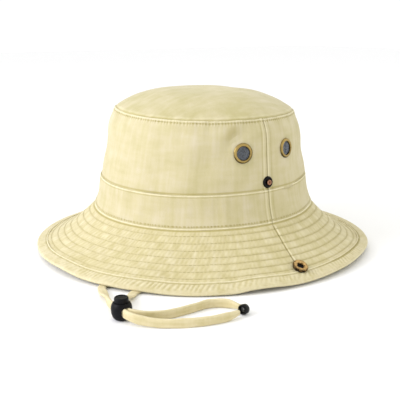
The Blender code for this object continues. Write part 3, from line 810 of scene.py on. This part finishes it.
def side_panel(part, start, end):
    """One side panel of the crown, with its puckered seams and soft dents."""
    angles = np.linspace(start, end, PANEL_COLUMNS)
    rows = [np.arange(0, 6, 0.45), np.arange(6, 52, 0.85), np.arange(52, 57, 0.5), [58]]
    below = np.concatenate(rows) * MM
    turn, deep = np.meshgrid(angles, below)
    base = on_crown(turn, SIDE_TOP - deep, 0.0)
    normal = normals_of(base)
    length, width = BASE_LENGTH * 0.9, BASE_WIDTH * 0.93
    u = arc_length(length, width, turn)
    v = deep / MM
    calm = calm_near_fittings(base)
    pucker = np.sin(2 * pi * (u / 2.75 + 0.25 * ripple(u, v * 0, 11, 9, 40)))
    shape = 0.26 * hill(v, 0.8, 0.6) - 0.5 * (1 - ease(v / 0.6))
    shape += -0.22 * hill(v, 2.1, 0.6) * (0.75 + 0.25 * pucker)
    shape += 0.1 * pucker * hill(v, 2.0, 2.2)
    shape += 0.45 * ease((v - 30) / 24)
    shape += 0.2 * ripple(u, v * 0.4, 12, 7, 15, lean=0.9) * np.exp(-v / 8)
    shape += 0.55 * ripple(u, v, 13, 22, 80) * calm
    shape += 0.12 * ripple(u, v * 0.35, 14, 9, 24, lean=0.9) * calm
    # Tone of the panel: its folded top edge paler as rubbed cloth and painted highlight, painted shade in
    # the troughs of the top stitch row, and the puckers below it painted lighter and darker.
    worn_and_painted_light = 0.8 * hill(v, 0.7, 0.55) * (0.8 + 0.2 * pucker)
    worn_and_painted_light += -1.1 * hill(v, 2.1, 0.5) * ease(0.5 - 0.9 * pucker)
    worn_and_painted_light += 0.22 * pucker * hill(v, 3.3, 0.9)
    worn_and_painted_light += -0.12 * ripple(u, v, 15, 8, 30) * np.exp(-v / 10)
    more, seam_worn_and_painted_light = seam_shapes(turn, u, length, width, 14, part == "front")
    shape += more
    worn_and_painted_light += seam_worn_and_painted_light
    along = 0.8 * (u - FOLD[0]) - 0.6 * (v - FOLD[1])
    across = 0.6 * (u - FOLD[0]) + 0.8 * (v - FOLD[1])
    shape -= 2.2 * hill(along, 1.0, 11.0) * hill(across, 7.0, 6.0) * calm
    # Painted shade along the crease of the fold.
    worn_and_painted_light -= 0.48 * hill(along, 0, 9.0) * hill(across, 0.5, 4.4)
    shape += 1.1 * hill(turn, -36, 30) * hill(v, 13, 10)
    # Painted shadow of the band's top edge, on the panel just above the band.
    worn_and_painted_light -= 0.75 * hill(v, (SIDE_TOP - BAND_TOP) / MM - 0.7, 0.6)
    outer = base + normal * shape[..., None] * MM
    inner = base[::6] - normal[::6] * SIDE_THICK
    node = f"crown_side_{part}"
    made = shell(node + "_cloth", outer, inner, np.stack([u, v], -1), worn_and_painted_light, side_cloth, node)
    open_holes(made.data)
    return angles, below, outer


side_front = side_panel("front", -90 + SEAM_GAP, 90 - SEAM_GAP)
side_back = side_panel("back", 90 + SEAM_GAP, 270 - SEAM_GAP)


# The crown's top, with its tucked edge as distances outward and below the top seam

TOP_COLUMNS = 420
TOP_RADIUS = 74.0
TOP_DEGREE = 1.29
TOP_THICK = 0.0014
TOP_TUCK = ((-0.0012, 0.0022), (-0.0017, 0.006), (-0.003, 0.006), (-0.0031, 0.0016))


def dome():
    """The domed top panel, with its edge turned down inside the side panels."""
    angles = np.linspace(0, 360, TOP_COLUMNS, endpoint=False)
    shares = np.concatenate([[1.0, 0.996, 0.991, 0.984, 0.975, 0.963], np.linspace(0.95, 0.012, 52)])
    turn, share = np.meshgrid(angles, shares)
    edge = on_crown(turn, TOP_HEIGHT, 0.0)
    flat = edge[..., :2] * share[..., None]
    from_edge = (1 - share) * TOP_RADIUS
    u = flat[..., 0] / MM
    v = flat[..., 1] / MM
    around_u = turn * TOP_DEGREE
    bumps = -0.55 * (1 - ease(from_edge / 0.8)) + 0.1 * hill(from_edge, 1.2, 0.9)
    bumps += 0.14 * ripple(around_u, from_edge * 0, 21, 3, 9) * np.exp(-from_edge / 5)
    bumps += 0.3 * ripple(u, v, 22, 20, 70) * ease(from_edge / 20)
    # Along the top seam: paler just inside it as rubbed cloth and painted highlight, and painted shade in
    # the crease at its edge.
    worn_and_painted_light = hills(from_edge, (0.25, 1.1, 0.8), (-0.45, 0, 0.45))
    worn_and_painted_light += -0.1 * ripple(around_u, from_edge * 0.5, 23, 3, 12) * np.exp(-from_edge / 6)
    spread = ease(share)
    level = edge[..., 2] * spread + (TOP_HEIGHT + 1.3 * MM) * (1 - spread)
    level += DOME_HEIGHT * (1 - share**DOME_ROUNDNESS) + bumps * MM
    outer = np.concatenate([flat, level[..., None]], -1)
    tucked = [on_crown(turn[:1], TOP_HEIGHT - below, outward) for outward, below in TOP_TUCK]
    under = outer[::6] - np.array((0, 0, TOP_THICK))
    under[..., :2] *= 0.957
    rows = np.concatenate([outer[::-1], *tucked, under])
    uv = np.zeros(rows.shape[:2] + (2,))
    uv[..., 0] = np.linspace(0, 100, TOP_COLUMNS)
    mesh = grid_mesh(rows, uv, closed_rows=False, closed_columns=True)
    plain = np.zeros((len(rows) - len(worn_and_painted_light), TOP_COLUMNS))
    numbered(mesh, "painted_light_and_worn", np.concatenate([worn_and_painted_light[::-1], plain]))
    close_ends(mesh, TOP_COLUMNS, len(rows))
    placed("crown_top_cloth", outward_normals(mesh), top_cloth, "crown_top")


def close_ends(mesh, around, rows):
    """Closes the small rings in the middle of the dome, above and below."""
    with editing(mesh) as bm:
        bm.verts.ensure_lookup_table()
        bm.faces.new([bm.verts[number] for number in range(around)])
        bm.faces.new([bm.verts[(rows - 1) * around + number] for number in reversed(range(around))])


dome()


# The band


def band_panel(part, start, end):
    """One half of the band round the crown's foot, with its stitched edges and the welt below."""
    angles = np.linspace(start, end, PANEL_COLUMNS)
    fine = np.concatenate([np.linspace(0, 2.4, 9), np.linspace(2.8, 21.0, 26), np.linspace(21.4, 26.2, 17)])
    turn, v = np.meshgrid(angles, fine)
    height = BAND_TOP - v * MM
    base = on_crown(turn, height, BAND_OUTSIDE)
    u = arc_length(BASE_LENGTH, BASE_WIDTH, turn)
    foot = (BAND_TOP - JOINT_HEIGHT) / MM - v
    pucker = np.sin(2 * pi * (u / 2.7 + 0.3 * ripple(u, v * 0, 31, 9, 40)))
    shape = hills(v, (0.18, 0.8, 0.55), (-0.1, 2.0, 0.5))
    shape += hills(foot, (0.34, 0.45, 0.5), (-0.22, 1.35, 0.4))
    shape -= 0.45 * (1 - ease(v / 0.5)) + 0.15 * (1 - ease(v / 14))
    shape -= 0.16 * hill(foot, 2.3, 0.45) * (0.7 + 0.3 * pucker)
    shape += 0.06 * pucker * hill(foot, 2.8, 1.2)
    shape += 0.16 * ripple(u, v * 0.35, 32, 7, 22, lean=0.8) * ease(v / 4)
    shape += 0.16 * ripple(u, v, 33, 18, 60)
    # Tone of the band: its top edge and the welt at its foot paler as rubbed cloth and painted highlight,
    # and painted shade at its top edge, along its stitch rows, in the puckers' troughs and at its very foot.
    worn_and_painted_light = hills(v, (0.85, 0.85, 0.45), (-0.7, -0.1, 0.3), (-0.45, 1.9, 0.45))
    worn_and_painted_light += hills(foot, (0.9, 0.45, 0.45), (-0.35, 1.35, 0.4), (-0.5, -0.5, 0.4))
    worn_and_painted_light -= hill(foot, 2.3, 0.5) * ease(0.5 - 0.9 * pucker)
    more, seam_worn_and_painted_light = seam_shapes(turn, u, BASE_LENGTH, BASE_WIDTH, 12, part == "front")
    outer = base + normals_of(base) * (shape + 0.6 * more)[..., None] * MM
    inner = on_crown(turn[::5], height[::5], 0.0002)
    node = f"band_{part}"
    shell(node + "_cloth", outer, inner, np.stack([u, v + 70], -1), worn_and_painted_light + 0.8 * seam_worn_and_painted_light, band_cloth, node)
    return angles, fine * MM, outer


band_front = band_panel("front", -90 + SEAM_GAP, 90 - SEAM_GAP)
band_back = band_panel("back", 90 + SEAM_GAP, 270 - SEAM_GAP)


# The brim, with its edge inside the crown as heights and distances outward

BRIM_COLUMNS = 440
BRIM_TURN_UP = (
    (0.0314, -0.0017), (0.0331, -0.0028), (0.0372, -0.0028), (0.0414, -0.0028), (0.0414, -0.0017),
    (0.0372, -0.0017), (0.0331, -0.0017),
)
PUFF = 3.7


def quilting(u, out, turn):
    """Height in millimetres and tone of the quilted brim at places on it: painted shade along the rows and
    painted light and shade on the pillows between them.
    """
    pitch = ROW_PITCH / MM
    crisp = 0.1 + 0.82 * ease((turn - 50) / 30)
    crisp = np.maximum(crisp, 0.1 + 0.48 * ease((14 - turn) / 28))
    rows = np.array(ROWS) / MM
    nearest = np.abs(out[..., None] - rows).argmin(-1)
    off = out - rows[nearest]
    which = np.where(off > 0, nearest + 1, nearest)
    between = np.clip(np.abs(off) / (pitch / 2), 0, 1)
    pillow = np.sin(between * pi / 2) ** 0.8
    drift = ripple(u, which * 37.0, 41, 12, 45)
    slant = 0.55 * (out - which * pitch)
    puff = np.sin(2 * pi * ((u + slant) / PUFF + 0.45 * drift + which * 0.37))
    soft = ripple(u, which * 53.0 + out * 0.6, 42, 5, 18)
    slanted = 1.25 - 0.75 * crisp
    shape = crisp * (-0.16 * hill(off, 0, 0.55) + 0.2 * (pillow - 0.5))
    shape += (0.055 * slanted * puff + 0.09 * soft) * pillow
    # Painted shade along the rows; the pillows painted lighter at their crowns and darker near the rows,
    # with the puffs lighter and darker in turn.
    worn_and_painted_light = -(0.06 + 0.44 * crisp) * hill(off, 0, 0.75) * (0.7 + 0.3 * puff)
    worn_and_painted_light += pillow * (0.15 * slanted * puff + 0.15 * soft) + 0.18 * crisp * (pillow - 0.4)
    return shape, worn_and_painted_light


def seam_skew(turn, out):
    """Degrees that the left brim seam runs askew near the crown, at these places on the brim."""
    return 2.1 * np.clip(1 - out / 34, 0, 1) * hill(turn, BRIM_SEAM, 25)


def brim_panel(part, start, end):
    """One half of the brim: quilted above and below, with its edge turned up inside the crown."""
    angles = np.linspace(start, end, BRIM_COLUMNS)
    fine = np.concatenate([np.linspace(-0.9, 0.2, 4), np.arange(0.55, 41.2, 0.38)])
    turn, out = np.meshgrid(angles, fine)
    skewed = turn + seam_skew(turn, out)
    u = arc_length(BASE_LENGTH + 0.028, BASE_WIDTH + 0.028, turn)
    shape, worn_and_painted_light = quilting(u, out, turn)
    fade = ease((out - 0.5) / 2.0) * ease((41.5 - out) / 2.0)
    shape = shape * fade + 0.22 * ripple(u, out, 43, 25, 90) * fade
    # Painted shade along the brim's edge under the band.
    worn_and_painted_light = worn_and_painted_light * fade - 0.9 * hill(out, 0.1, 0.55)
    for seam in (-BRIM_SEAM, BRIM_SEAM, 360 - BRIM_SEAM):
        near = (np.abs(turn - seam) < 12) * fade
        off = np.abs(turn - seam) * radians(1) * (BASE_WIDTH + out * MM) / MM
        # At the seams: painted shade in the groove, and on the back half a line beside it paler as rubbed
        # cloth and painted highlight.
        if part == "front":
            more = -0.4 * hill(off, 0, 0.6)
            seam_worn_and_painted_light = -0.95 * hill(off, 0, 0.7)
        else:
            more = hills(off, (-0.3, 0, 0.4), (0.35, 1.1, 0.6))
            seam_worn_and_painted_light = hills(off, (-0.5, 0, 0.35), (0.9, 1.1, 0.55))
        shape += near * more
        worn_and_painted_light += near * seam_worn_and_painted_light
    base = on_brim(skewed, out * MM, BRIM_HALF)
    outer = base + normals_of(base) * shape[..., None] * MM
    under_base = on_brim(skewed, out * MM, -BRIM_HALF)
    under_normal = -normals_of(under_base)[::-2]
    few, few_turn = out[::-2], skewed[::-2]
    under_shape, under_worn_and_painted_light = quilting(u[::-2] + 17, few, few_turn)
    under_fade = ease((few - 1.5) / 2.0) * ease((41.5 - few) / 2.0)
    under = under_base[::-2] + under_normal * (under_shape * under_fade)[..., None] * MM
    keep = few[:, 0] > 1.0
    up = [on_crown(skewed[:1], height, outward) for height, outward in BRIM_TURN_UP]
    up_u = np.repeat(u[:1] + 400, len(up), 0)
    up_v = np.repeat(np.linspace(-2, -12, len(up))[:, None], len(angles), 1)
    under_uv = np.stack([u[::-2] + 400, few], -1)[keep]
    uv = np.concatenate([np.stack([u, out], -1), under_uv, np.stack([up_u, up_v], -1)])
    painted_light_and_worn = np.concatenate([worn_and_painted_light, (under_worn_and_painted_light * under_fade)[keep], np.zeros_like(up_u)])
    node = f"brim_{part}"
    cloth_piece(node + "_cloth", np.concatenate([outer, under[keep], *up]), uv, painted_light_and_worn, brim_cloth, node)
    return angles, fine * MM, outer


brim_front = brim_panel("front", -BRIM_SEAM + BRIM_GAP, BRIM_SEAM - BRIM_GAP)
brim_back = brim_panel("back", BRIM_SEAM + BRIM_GAP, 360 - BRIM_SEAM - BRIM_GAP)


# The binding

BINDING_COLUMNS = 1500
BINDING_HALF = 1.75


def binding():
    """The strip folded over the rim, puckered between its stitched edge and the rim."""
    angles = np.linspace(-60, 300, BINDING_COLUMNS, endpoint=False)
    lip = BINDING_LIP / MM
    end = BRIM_WIDTH / MM
    section = [(lip + 0.05, 0.95), (lip, 1.45)]
    section += [(lip + inward, BINDING_HALF) for inward in (0.25, 0.6, 0.9, 1.2, 1.5, 1.9)]
    section += [(reach, BINDING_HALF) for reach in np.linspace(lip + 2.6, end - 1.9, 9)]
    for swing in np.linspace(0.25, pi - 0.35, 9):
        section.append((end - BINDING_HALF * (1 - sin(swing)), BINDING_HALF * cos(swing)))
    section += [(reach, -BINDING_HALF) for reach in np.linspace(end - 2.2, lip + 0.4, 6)]
    section += [(lip, -1.3), (lip + 0.05, -0.95), (end - 1.6, -0.9), (end - 1.6, 0.9)]
    section = np.array(section)
    turn = np.repeat(angles[None], len(section), 0)
    reach = np.repeat(section[:, :1], BINDING_COLUMNS, 1)
    offset = np.repeat(section[:, 1:], BINDING_COLUMNS, 1)
    u = arc_length(BASE_LENGTH + 0.045, BASE_WIDTH + 0.045, turn)
    out = reach - lip
    on_top = np.where((offset > 0.9) & (reach > lip + 0.01), 1.0, 0.0)
    between = np.clip((out - 1.6) / (end - lip - 1.6), 0, 1)
    drift = ripple(u, u * 0, 51, 14, 60)
    strength = 0.75 + 0.35 * ripple(u, u * 0, 52, 25, 90)
    strength *= 0.45 + 0.55 * ease((turn + 5) / 40) * ease((210 - turn) / 60)
    wave = np.sin(2 * pi * ((u + 0.55 * out) / PUFF + 0.35 * drift))
    pucker = np.abs(wave) ** 0.8 * np.sign(wave) * strength
    pucker *= ease(between / 0.12) * (1 - ease((between - 0.45) / 0.5))
    shape = 0.17 * pucker + 0.12 * np.sin(pi * between)
    shape += hills(out, (0.3, 0.55, 0.5), (-0.3, 1.45, 0.45))
    # Tone of the binding: its puckers painted lighter and darker, its stitched edge paler as rubbed cloth
    # and painted highlight, painted shade in the groove beside that edge, darker still from 92 to 175
    # degrees, and the upper side of the rolled rim paler as rubbed cloth and painted highlight.
    worn_and_painted_light = 0.36 * pucker + hills(out, (0.85, 0.5, 0.45), (-0.65, 1.5, 0.42))
    worn_and_painted_light -= 1.1 * hill(out, 1.4, 0.9) * ease((turn - 92) / 20) * ease((175 - turn) / 20)
    worn_and_painted_light += 0.1 * ripple(u, out * 2, 53, 4, 14)
    worn_and_painted_light = worn_and_painted_light * on_top + 0.45 * hill(offset, 0.6, 0.8) * (reach > end - 1.9)
    points = on_brim(turn, reach * MM, (offset + shape * on_top) * MM)
    points[..., 2] = np.maximum(points[..., 2], 0.00002)
    uv = np.stack([u, out + np.where(offset < 0, 40, 0)], -1)
    cloth_piece("brim_binding_cloth", points, uv, worn_and_painted_light, binding_cloth, "brim_binding", closed_columns=True)
    return angles, section[:14, 0] * MM, points[:14]


binding_top = binding()


# Stitches

STITCH_SIDES = 5
BRIM_STITCH = 0.0024
BRIM_STITCH_PITCH = 0.0031
CROWN_STITCH = 0.0021
CROWN_STITCH_PITCH = 0.00275
SIDE_ROW = 0.0021
BAND_ROW = 0.0236
BINDING_ROW = BINDING_LIP + 0.00145


def stitch_mesh(spots, ways, ups, length, thick=0.00019, tall=0.00022):
    """Small threads at these spots, each out of one hole and into the next."""
    along = np.array((-0.5, -0.24, 0.24, 0.5)) * length
    lift = np.array((-0.35, 0.75, 0.75, -0.35)) * tall
    turn = circle(STITCH_SIDES)
    across = np.cross(ways, ups)
    spots, ways, ups, across = (values[:, None, None] for values in (spots, ways, ups, across))
    rings = (spots + ways * along[:, None, None] + ups * lift[:, None, None]
             + across * (np.cos(turn) * thick)[:, None] + ups * (np.sin(turn) * thick)[:, None])
    faces = []
    for number in range(len(rings)):
        faces += tube_faces(number * len(along) * STITCH_SIDES, len(along), STITCH_SIDES)
    return mesh_of(rings, faces)


def row_of_stitches(panel, level, pitch, end=None):
    """Spots, ways along and ways up for a row of stitches at one level of a panel's grid."""
    angles, levels, grid = panel
    row = np.interp(level, levels, np.arange(len(levels)))
    low = int(row)
    line = grid[low] * (1 - row + low) + grid[min(low + 1, len(grid) - 1)] * (row - low)
    length = np.concatenate([[0], np.cumsum(np.linalg.norm(np.diff(line, axis=0), axis=1))])
    first, last = np.interp([angles[0], end or angles[-1]], angles, length)
    places = np.arange(first + pitch / 2, last - pitch / 2, pitch)

    def at(where, values):
        return np.stack([np.interp(where, length, column) for column in values.T], -1)

    ways = unit(at(places + pitch / 4, line) - at(places - pitch / 4, line))
    return at(places, line), ways, unit(at(places, normals_of(grid)[low]))


def stitched(name, rows, length):
    """All these rows of stitches as one piece."""
    spots, ways, ups = (np.concatenate(parts) for parts in zip(*rows))
    placed(name, stitch_mesh(spots, ways, ups, length), thread)


def all_stitches():
    """Every stitched line of the hat."""
    halves = (brim_front, brim_back)
    quilt = [row_of_stitches(half, row, BRIM_STITCH_PITCH) for half in halves for row in ROWS]
    stitched("brim_stitches", quilt, BRIM_STITCH)
    levels = ((side_front, SIDE_ROW), (side_back, SIDE_ROW), (band_front, BAND_ROW), (band_back, BAND_ROW))
    crown = [row_of_stitches(panel, level, CROWN_STITCH_PITCH) for panel, level in levels]
    stitched("crown_stitches", crown, CROWN_STITCH)
    edge = row_of_stitches(binding_top, BINDING_ROW, BRIM_STITCH_PITCH, 299.7)
    stitched("binding_stitches", [edge], BRIM_STITCH)


all_stitches()


# Eyelets

RING_PROFILE = (
    (5.3, -2.8), (5.3, 0.4), (5.45, 0.9), (5.8, 1.25), (6.3, 1.42), (6.9, 1.3), (7.4, 1), (7.75, 0.5),
    (7.85, 0.1), (7.7, -0.2), (6.6, -0.1), (6.2, -1.8), (7.2, -2.1), (7, -3), (6, -3.2),
)
WIRE_SIDES = 6


def edge_worn(mesh, worn):
    """A mesh with its edge numbers, from each vertex's distance from the axis and its height."""
    places = np.array([vertex.co for vertex in mesh.vertices])
    numbered(mesh, "edge", worn(np.hypot(places[:, 0], places[:, 1]), places[:, 2]))
    return mesh


def wire_cloth(radius=0.0057, pitch=0.0008, thick=0.0003, level=-0.0003):
    """A round piece of plain woven wire, each wire a bent tube."""
    verts, faces = [], []
    count = int(radius / pitch)
    turn = circle(WIRE_SIDES)
    for way in (0, 1):
        for number in range(-count, count + 1):
            across = number * pitch
            reach = max(radius**2 - across**2, 0) ** 0.5
            steps = max(int(2 * reach / (pitch / 3)), 2)
            along = np.linspace(-reach, reach, steps + 1)[:, None]
            phase = np.cos(pi * along / pitch) * (1 if (number + way) % 2 else -1)
            high = level + phase * thick * 0.55 + np.sin(turn) * thick / 2
            sideways = across + np.cos(turn) * thick / 2
            first, second = (along, sideways) if way else (sideways, along)
            faces += tube_faces(len(verts), steps + 1, WIRE_SIDES)
            verts += np.stack(np.broadcast_arrays(first, second, high), -1).reshape(-1, 3).tolist()
    return outward_normals(mesh_of(verts, faces))


def ring_wear(out, up):
    """Wear of an eyelet's ring: its crest and inner side are rubbed."""
    return np.clip((up - 0.0004) / 0.001, 0, 1) * np.clip((0.0078 - out) / 0.0012, 0, 1)


def eyelets():
    """Four rolled rings with woven wire in their mouths."""
    for side, way in SIDES:
        for end, (angle, height) in zip(("front", "back"), EYELETS):
            place = crown_place(way * angle, height)
            node = f"eyelet_{side}_{end}"
            ring = edge_worn(turned_mesh(RING_PROFILE, 72), ring_wear)
            placed(node + "_rolled", ring, ring_brass, node + "_ring", matrix=place)
            placed(node + "_woven", wire_cloth(), wire, node + "_mesh", matrix=place)


eyelets()


# Snaps: their profiles are distances from the axis and heights over the cloth, in millimetres

STUD_PROFILE = (
    (0, 1), (2.2, 1), (2.6, 0.9), (2.8, 1.4), (3.3, 1.8), (3.9, 1.8), (4.4, 1.4), (4.7, 0.7), (4.8, -0.1),
    (1.8, -0.2),
)
NIB_PROFILE = (
    (0, 2.6), (0.7, 2.6), (1, 3.1), (1.6, 3.2), (2.1, 2.8), (2.1, 1.8), (1.8, 1.2), (1.9, 0.8), (0.2, 0.7),
)
# A flat black disc inside the socket's mouth, as painted shade in the hole.
CUP_PROFILE = ((0, 1.7), (3.4, 1.7), (3.4, 2), (3.5, 1.6), (0, 1.5))

# The socket's disc: distance from the axis, share by which it is lobed, and height
SOCKET_RINGS = (
    (2.5, 0.2, 1.9), (2.6, 0.2, 2.6), (2.9, 0.2, 2.9), (3.5, 0.07, 3.1), (4.1, 0, 3.1), (4.6, 0, 2.95),
    (4.9, 0, 3), (5.3, 0, 3.15), (5.7, 0, 3), (6, 0, 2.5), (6, 0, 1.8), (5.8, 0, 1.6), (5.7, 0, 0.7),
    (2, 0, 0.7),
)


def nib_wear(_, up):
    """Wear of a stud's nib: its upper rim is rubbed."""
    return np.clip((up - 0.0024) / 0.0007, 0, 1)


def studs():
    """The crown's snap halves: a glossy black ring round a copper nib."""
    for side, way in SIDES:
        place = crown_place(way * STUD[0], STUD[1])
        node = f"crown_snap_stud_{side}"
        ring = turned_mesh(rounded(STUD_PROFILE, 0.3), 64)
        placed(node + "_ring", ring, stud_black, node, matrix=place)
        nib = edge_worn(turned_mesh(rounded(NIB_PROFILE, 0.2), 40), nib_wear)
        placed(node + "_nib", nib, nib_copper, matrix=place)


def disc_wear(out, _):
    """Wear of a socket's disc: round its mouth, and along the ridge near its rim."""
    return (np.clip(1.1 - np.abs(out - 0.004) / 0.0016, 0, 1) * 0.8
            + np.clip(1 - np.abs(out - 0.0053) / 0.0004, 0, 1) * 0.3)


def sockets():
    """The brim's snap halves: an antique disc with a four-lobed mouth, and a black disc inside it as painted
    shade in the hole.
    """
    turn = circle(96)
    grid = []
    for radius, lobes, height in SOCKET_RINGS:
        far = radius * (1 + lobes * np.cos(4 * turn))
        grid.append(np.stack([far * np.cos(turn), far * np.sin(turn), np.full_like(turn, height)], -1))
    grid = np.array(grid) * MM
    uv = np.zeros(grid.shape[:2] + (2,))
    uv[..., 0] = np.linspace(0, 30, len(turn))
    for side, way in SIDES:
        place = brim_place(way * BRIM_SEAM, SOCKET_REACH)
        node = f"brim_snap_socket_{side}"
        disc = outward_normals(grid_mesh(grid, uv, closed_rows=False, closed_columns=True))
        placed(node + "_disc", edge_worn(disc, disc_wear), socket_brass, node, matrix=place)
        placed(node + "_cup", turned_mesh(CUP_PROFILE, 32), mouth_painted_shade, matrix=place)


studs()
sockets()


# The cord lock and the bead: their profiles are distances from the axis and heights, in millimetres

LOCK_PLACE = Matrix.Translation((0.1125, -0.1489, 0.0001))
SLOT_LENGTH = 0.03
BARREL_SLOT = (0.0072, 0.003, 0.0098, 0.003)
BUTTON_SLOT = (0.0068, 0.0028, 0.0117, 0.001)
BARREL_PROFILE = (
    (0, 0), (3.4, 0), (4.9, 0.6), (6.1, 2.3), (6.8, 4.7), (7, 7.1), (6.9, 9), (6.3, 10.7), (5.5, 11.9),
    (5.1, 11.9), (5, 1.2), (0, 1.2),
)
BUTTON_PROFILE = (
    (0, 3.6), (4.75, 3.6), (4.75, 14.6), (4.2, 15.4), (3.6, 15.3), (3.2, 15), (0, 14.95),
)
BEAD_PROFILE = (
    (2.1, -2.3), (2.7, -2.7), (3.3, -1.9), (3.5, 0), (3.3, 1.9), (2.7, 2.7), (2.1, 2.3), (1.9, 0),
)
BEAD_MIDDLE = (0.153, -0.08, 0.0036)
BEAD_AXIS = (-0.2, 1.0, -0.1)


def without(mesh, cutter):
    """The mesh with another mesh taken out of it."""
    body = linked("cutting", mesh)
    helper = linked("cutter", cutter)
    modifier = body.modifiers.new("cut", "BOOLEAN")
    modifier.operation = "DIFFERENCE"
    modifier.object = helper
    bpy.context.view_layer.update()
    graph = bpy.context.evaluated_depsgraph_get()
    cut = bpy.data.meshes.new_from_object(body.evaluated_get(graph))
    for gone in (body, helper):
        bpy.data.objects.remove(gone)
    cut.shade_smooth()
    cut.set_sharp_from_angle(angle=radians(35))
    return cut


def slot_mesh(width, low, high, rounding):
    """A rounded box along X for the cord's way through the lock, from its low to its high side."""
    mesh = bpy.data.meshes.new("slot")
    size = Matrix.Diagonal((SLOT_LENGTH, width, high - low, 1))
    place = Matrix.Translation((0, 0, (low + high) / 2)) @ size
    with editing(mesh) as bm:
        bmesh.ops.create_cube(bm, size=1, matrix=place)
        long_edges = [edge for edge in bm.edges if edge.calc_length() > SLOT_LENGTH / 2]
        bmesh.ops.bevel(bm, geom=long_edges, offset=rounding, segments=8, profile=0.5, affect="EDGES")
    return mesh


def lock():
    """The cord lock: a ball-like barrel with a pressed button on top."""
    barrel = without(turned_mesh(rounded(BARREL_PROFILE, 0.8, 5), 80), slot_mesh(*BARREL_SLOT))
    button = without(turned_mesh(rounded(BUTTON_PROFILE, 0.4, 5), 72), slot_mesh(*BUTTON_SLOT))
    return [
        placed("cord_lock_barrel", barrel, lock_black, "cord_lock_body", matrix=LOCK_PLACE),
        placed("cord_lock_button", button, lock_black, "cord_lock_plunger", "plunger", LOCK_PLACE),
    ]


def bead():
    """The end bead: a short glossy barrel round the cord's two ends."""
    turned = Vector(BEAD_AXIS).to_track_quat("Z", "Y").to_matrix().to_4x4()
    place = Matrix.Translation(BEAD_MIDDLE) @ turned
    mesh = turned_mesh(BEAD_PROFILE, 64, 60)
    return placed("cord_end_barrel", mesh, bead_black, "cord_end_bead", matrix=place)


closing = [*lock(), bead()]


# The scene brought up to date

bpy.context.view_layer.update()
